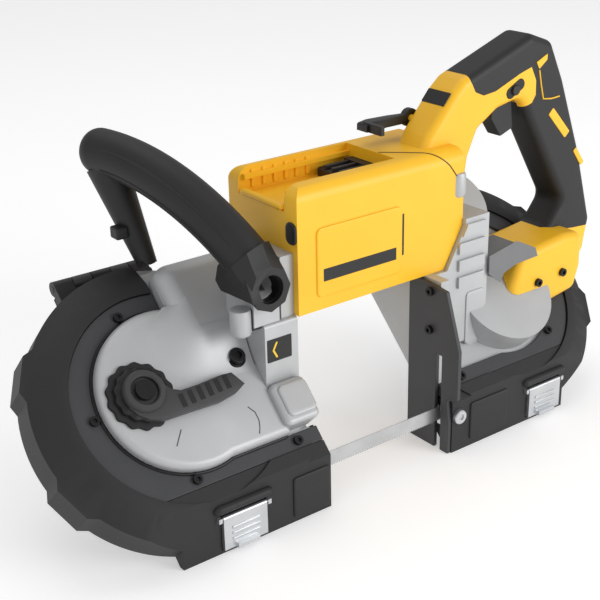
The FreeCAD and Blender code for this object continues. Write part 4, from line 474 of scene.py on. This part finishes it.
label = raised_plate(front_face(TOWER_FRONT), (-84.5, 131.5), (23.5, 19.5), corner=1.0, lift=0.25, ease=0.12)
mesh_piece("tower_label", label, "frame", label_film)
s = np.linspace(-1, 1, 15)
chevron = place(-90.5 + 3.2 * np.abs(s), TOWER_FRONT - 0.3, 131.5 + 6.0 * s)
chevron = bar(chevron, radius_mm=0.9, squash=0.4, up=(0, 1, 0))
mesh_piece("tower_label_chevron", chevron, "frame", yellow_film)


# Motor housing: two half shells of yellow glass-filled nylon, screwed together along the middle,
# with a raised bare panel and strip, a vent slot, a plug, a silver boss, the battery dock's black
# well with its fins, ribs and lip, and a bare strip and a seam on the neck.
HOUSING_FRONT, HOUSING_LEFT, DOCK_FLOOR, DOCK_BACK = 38.0, -66.25, 236.0, 116.0
PANEL_LIFT, WELL_LIFT = 1.5, 7.0
HOUSING_BOSS = [(3.0, 214.5), (6.0, 215.5), (7.5, 218.0), (7.5, 234.0), (6.6, 236.0), (4.5, 236.6)]
NECK_RUN, NECK_CLIMB = 0.662, 0.750
yellow_nylon = surface("moulded_yellow_glass_filled_nylon", "#FEC628", "#F7BB1D",
                       mottle_mm=40, grain_mm=0.9, depth_mm=0.04, rough=(0.36, 0.48))
rounded_copy("housing_front", "frame", yellow_nylon, round_mm=1.2)
rounded_copy("housing_rear", "frame", yellow_nylon, round_mm=1.2)
panel = raised_plate(front_face(HOUSING_FRONT), (-5.0, 193.5), (87, 58),
                     corner=5.0, lift=PANEL_LIFT, ease=1.2)
mesh_piece("housing_panel", panel, "frame", yellow_nylon)
strip = raised_plate(front_face(HOUSING_FRONT - PANEL_LIFT), (-5.0, 183.0), (75, 10.5),
                     corner=0.6, lift=0.2, ease=0.1)
mesh_piece("panel_strip", strip, "frame", label_film)
# The vent slot is a thin black plate on the face: painted shade of the opening.
shade_slot = raised_plate(front_face(HOUSING_FRONT), (41.0, 197.0), (1.8, 36), corner=0.8, lift=0.3, ease=0.2)
mesh_piece("vent_slot_painted_shade", shade_slot, "frame", black_plastic)


def left_face(x):
    """Maps (depth, up, out) on to a face that looks left, at x."""
    return lambda a, b, c: place(x - c, a, b)


def top_face(z):
    """Maps (across, depth, out) on to a level face at height z."""
    return lambda a, b, c: place(a, b, z + c)


plug = raised_plate(left_face(HOUSING_LEFT), (45.0, 221.0), (13, 18), corner=5.5, lift=2.0, ease=1.5)
mesh_piece("housing_plug", plug, "frame", black_plastic)
boss = turned(place, (104.5, 42.5), HOUSING_BOSS)
mesh_piece("housing_boss", boss, "frame", silver_coat)
well = raised_plate(top_face(DOCK_FLOOR), (27.0, 88.0), (34, 50), corner=3.0, lift=WELL_LIFT, ease=1.5)
mesh_piece("dock_well", well, "frame", black_plastic)
for k in range(4):
    fin = raised_plate(top_face(DOCK_FLOOR + WELL_LIFT), (24.0, 73.0 + 10.0 * k), (26, 3.0),
                       corner=0.8, lift=3.5, ease=0.6)
    mesh_piece(f"dock_fin_{k}", fin, "frame", black_plastic)
for k in range(6):
    rib = raised_plate(front_face(DOCK_BACK), (-52.0 + 11.0 * k, 246.0), (4.0, 15.0),
                       corner=1.0, lift=1.6, ease=0.6)
    mesh_piece(f"dock_rib_{k}", rib, "frame", yellow_nylon)
lip = bar(place(-64.6, np.linspace(60, 110, 9), 238.6), radius_mm=3.4, squash=0.8)
mesh_piece("dock_lip", lip, "frame", yellow_nylon)


def neck_face(a, b, c):
    """Maps (depth, up the neck, out) on to the sloping top face of the neck."""
    return place(104.0 + b * NECK_RUN - c * NECK_CLIMB, 74.0 + a, 288.7 + b * NECK_CLIMB + c * NECK_RUN)


def seam_line():
    """Seam from the neck to the boss: along the top, down over the front edge in a quarter turn of
    12 mm, y = 50 - 12 sin t and z = 245 + 12 cos t, and on to the boss."""
    share = np.linspace(0, 1, 10)
    t = np.radians(90) * share
    over = np.stack((72 + 19.8 * share, 50 - 12 * np.sin(t), 245 + 12 * np.cos(t)), 1)
    line = np.concatenate((((46, 75, 257), (60, 62, 257)), over, ((98, 38, 237), (103, 38, 229))))
    return place(*line.T)


strip = raised_plate(neck_face, (0, 6.0), (27, 13), corner=1.0, lift=0.3, ease=0.2)
mesh_piece("neck_strip", strip, "frame", label_film)
seam = bar(seam_line(), radius_mm=0.5, up=(0.3, 0.5, 0.7))
mesh_piece("neck_seam", seam, "frame", label_film)


# Rear handle: black soft grip moulded over the yellow shells, with yellow inlays showing through,
# a black trigger, a lock-off button in a slot, and a grey rubber pad on the handle's foot.
GRIP_FRONT = 56.0
INLAYS = (((231, 264), (254.5, 238.5), 8.0), ((266.5, 222.5), (278.3, 206.5), 5.0))
INLAY_LINE = np.array(((213.0, 303.0), (216.0, 290.0), (219.7, 277.0), (230.0, 275.5), (240.5, 276.0)))
INLAY_TAB = np.array(((208.8, 310.8), (222.0, 316.5), (221.8, 311.2), (212.5, 304.5)))
FOOT_PAD = [(136, 155), (168, 161), (192, 149), (196, 144), (169, 143), (153, 138), (150, 130), (137, 141)]
FOOT_FRONT = 32.0
soft_grip = surface("overmoulded_black_tpe_grip", "#1B1B1C", "#151516",
                    mottle_mm=20, grain_mm=1.0, depth_mm=0.06, rough=(0.48, 0.62))
pad_rubber = surface("moulded_mid_grey_rubber", "#7A7B7C", "#6E6F70",
                     mottle_mm=20, grain_mm=0.9, depth_mm=0.04, rough=(0.5, 0.62))
rounded_copy("grip_skin_front", "frame", soft_grip, round_mm=1.6)
rounded_copy("grip_skin_rear", "frame", soft_grip, round_mm=1.6)
rounded_copy("trigger", "trigger", black_plastic, round_mm=1.2)
dress(black_plastic, "switch_body", "terminal_block")
rounded_copy("lock_off_button", "lock", black_plastic, round_mm=1.0)


def grip_face(middle, lean):
    """Maps (along, across, out) on to the handle's front face round a middle, turned by the angle lean."""
    x, z = middle
    cos, sin = math.cos(lean), math.sin(lean)
    return lambda a, b, c: place(x + a * cos - b * sin, GRIP_FRONT - c, z + a * sin + b * cos)


for k, (start, stop, wide) in enumerate(INLAYS):
    middle = ((start[0] + stop[0]) / 2, (start[1] + stop[1]) / 2)
    at = grip_face(middle, math.atan2(stop[1] - start[1], stop[0] - start[0]))
    inlay = raised_plate(at, (0, 0), (math.dist(start, stop), wide), corner=1.4, lift=0.6, ease=0.5)
    mesh_piece(f"grip_inlay_{k}", inlay, "frame", yellow_nylon)
# The lock-off slot is a deeper black plate round the button: painted shade of the recess.
at = grip_face((184.0, 291.5), math.radians(27))
shade_slot = raised_plate(at, (0, 0), (23, 10), corner=4.8, lift=0.7, ease=0.6)
mesh_piece("lock_off_slot_painted_shade", shade_slot, "frame", black_nylon_and_painted_shade)
line = place(INLAY_LINE[:, 0], GRIP_FRONT - 0.2, INLAY_LINE[:, 1])
line = bar(line, radius_mm=0.7, up=(0, 1, 0), sides=8)
mesh_piece("grip_inlay_line", line, "frame", yellow_nylon)
tab = place(INLAY_TAB[:, 0], np.array(((GRIP_FRONT + 0.4,), (GRIP_FRONT - 0.6,))), INLAY_TAB[:, 1])
mesh_piece("grip_inlay_tab", tab, "frame", yellow_nylon, edge_mm=0.3)
pad = plate(front_face(FOOT_FRONT), FOOT_PAD, heights=(-28.0, 0.0, 1.0, 1.4), insets=(0, 0, 1.0, 2.0))
mesh_piece("foot_pad", pad, "frame", pad_rubber, sharp=25)


# Hang hook: flat hook with a broad tongue, of steel coated in black plastic. It swings on a stud
# behind the neck.
HOOK_TONGUE = [(58, 90), (80, 93), (97, 93), (97, 101), (80, 105), (58, 107), (46, 103), (46, 90)]
rounded_copy("hang_hook", "hook", black_plastic, round_mm=1.2)
tongue = plate(place, HOOK_TONGUE, heights=(270.5, 275.5, 276.8, 277.0), insets=(0, 0, 1.0, 2.2))
mesh_piece("hook_blade", tongue, "hook", black_plastic, sharp=30)


# Front handle: thick tube from the tower back to a leg on the left lobe, with a faceted sleeve that
# ends in an open mouth, two long ridges and a lug; a black cup in the mouth is painted shade of its
# bore. Moulded in black with a soft skin, and fixed to the tower and the lobe.
HANDLE_START, HANDLE_SPAN = np.array((-95.0, 34.8, 185.5)), np.array((-63.5, 158.2, 88.0))
HANDLE_SHARES = np.array(((0, 0, 0), (0.277, 0.279, 0.508), (0.5, 0.507, 0.776), (0.692, 0.709, 0.923),
                          (1, 1, 1)))
RIDGE_OUT, RIDGE_R = 18.3, 1.3
MOUTH_SHADE_CUP = [(0, -1), (12.2, -1), (12.2, 18), (11.0, 18), (11.0, 0), (0, 0)]
rounded_copy("front_handle", "frame", soft_grip, round_mm=1.2)
# A black cup set in the tube's mouth: painted shade of the bore.
mouth_shade = turned(front_face(53.0), (-97.0, 187.2), MOUTH_SHADE_CUP)
mesh_piece("handle_mouth_painted_shade", mouth_shade, "frame", black_nylon_and_painted_shade)


def smooth_line(points, count):
    """Natural cubic spline through the points, by distance along them: the second slopes solve
    a three-band system, and each stretch is the cubic that those slopes give."""
    step = np.linalg.norm(np.diff(points, axis=0), axis=1)
    t = np.concatenate(((0,), np.cumsum(step)))
    n = len(t)
    band = np.eye(n)
    rest = np.zeros((n, 3))
    i = np.arange(1, n - 1)
    band[i, i - 1], band[i, i], band[i, i + 1] = step[:-1], 2 * (step[:-1] + step[1:]), step[1:]
    slope = np.diff(points, axis=0) / step[:, None]
    rest[1:-1] = 6 * np.diff(slope, axis=0)
    bend = np.linalg.solve(band, rest)
    u = np.linspace(0, t[-1], count)
    k = np.clip(np.searchsorted(t, u, "right") - 1, 0, n - 2)
    h, a, b = step[k][:, None], (t[k + 1] - u)[:, None], (u - t[k])[:, None]
    return ((bend[k] * a ** 3 + bend[k + 1] * b ** 3) / (6 * h) + (points[k] / h - bend[k] * h / 6) * a
            + (points[k + 1] / h - bend[k + 1] * h / 6) * b)


def handle_ridge(turn):
    """Ridge along the tube: the tube's line moved out by RIDGE_OUT at an angle round it, with a radius
    that fades as the root of a sine at both ends."""
    core = smooth_line(HANDLE_START + HANDLE_SHARES * HANDLE_SPAN, 60)
    way = np.gradient(core, axis=0)
    way /= np.linalg.norm(way, axis=1, keepdims=True)
    across = np.cross(way, (0, 0, 1.0))
    across /= np.linalg.norm(across, axis=1, keepdims=True)
    out = across * math.cos(turn) + np.cross(across, way) * math.sin(turn)
    line = (core + out * RIDGE_OUT)[10:52]
    fade = np.sin(np.linspace(0.12, math.pi - 0.12, len(line))) ** 0.5
    return bar(place(*line.T), radius_mm=RIDGE_R * fade, sides=10)


for k, turn in enumerate((150, 205)):
    ridge = handle_ridge(math.radians(turn))
    mesh_piece(f"handle_ridge_{k}", ridge, "frame", soft_grip)
lug = raised_plate(left_face(-153.0), (152.0, 214.0), (12, 10), corner=2.0, lift=9.0, ease=1.5)
mesh_piece("handle_lug", lug, "frame", soft_grip)


# Studio: a plain pale floor, a soft key from the front right, weaker lights from above and from the
# left, and an even white surround. The camera stands where the photograph was taken.
FLOOR_HALF = 8.0
LIGHTS = (("key", (1.1, -2.0, 0.8), 1.2, 26), ("top", (0.1, 0.6, 2.2), 1.4, 7),
          ("fill", (-1.8, -0.8, 1.0), 1.2, 3))
AIM = Vector((0, 0, 0.12))
floor_paint = surface("pale_floor", "#F4F4F4", "#F1F1F1", mottle_mm=400, grain_mm=3, depth_mm=0.01,
                      rough=(0.7, 0.8), **{"Emission Color": (1, 1, 1, 1), "Emission Strength": 0.32})
floor_mesh = bpy.data.meshes.new("floor")
floor_mesh.from_pydata([(-FLOOR_HALF, -FLOOR_HALF, 0), (FLOOR_HALF, -FLOOR_HALF, 0),
                        (FLOOR_HALF, FLOOR_HALF, 0), (-FLOOR_HALF, FLOOR_HALF, 0)], [], [(0, 1, 2, 3)])
floor_mesh.materials.append(floor_paint)
floor = bpy.data.objects.new("floor", floor_mesh)
bpy.context.scene.collection.objects.link(floor)
world = bpy.data.worlds.new("studio")
world.use_nodes = True
world.node_tree.nodes["Background"].inputs["Color"].default_value = (1, 1, 1, 1)
world.node_tree.nodes["Background"].inputs["Strength"].default_value = 0.55
bpy.context.scene.world = world
bpy.context.scene.view_settings.view_transform = "Standard"
for name, spot, size, power in LIGHTS:
    lamp = bpy.data.lights.new(name, "AREA")
    lamp.size, lamp.energy = size, power
    light = bpy.data.objects.new(name, lamp)
    light.location = spot
    light.rotation_mode = "QUATERNION"
    light.rotation_quaternion = (AIM - Vector(spot)).to_track_quat("-Z", "Y")
    bpy.context.scene.collection.objects.link(light)
heading, drop, roll = math.radians(36.5), math.radians(23.14), math.radians(-1.3)
across = Vector((math.cos(heading), -math.sin(heading), 0))
ahead = Vector((math.sin(heading) * math.cos(drop), math.cos(heading) * math.cos(drop), -math.sin(drop)))
above = across.cross(ahead)
right = math.cos(roll) * across + math.sin(roll) * above
up = math.cos(roll) * above - math.sin(roll) * across
lens = bpy.data.cameras.new("camera")
lens.lens, lens.sensor_width = 72, 36
camera = bpy.data.objects.new("camera", lens)
camera.matrix_world = Matrix((right, up, -ahead)).transposed().to_4x4()
camera.location = (-0.58312, -0.74407, 0.534)
bpy.context.scene.collection.objects.link(camera)
bpy.context.scene.camera = camera
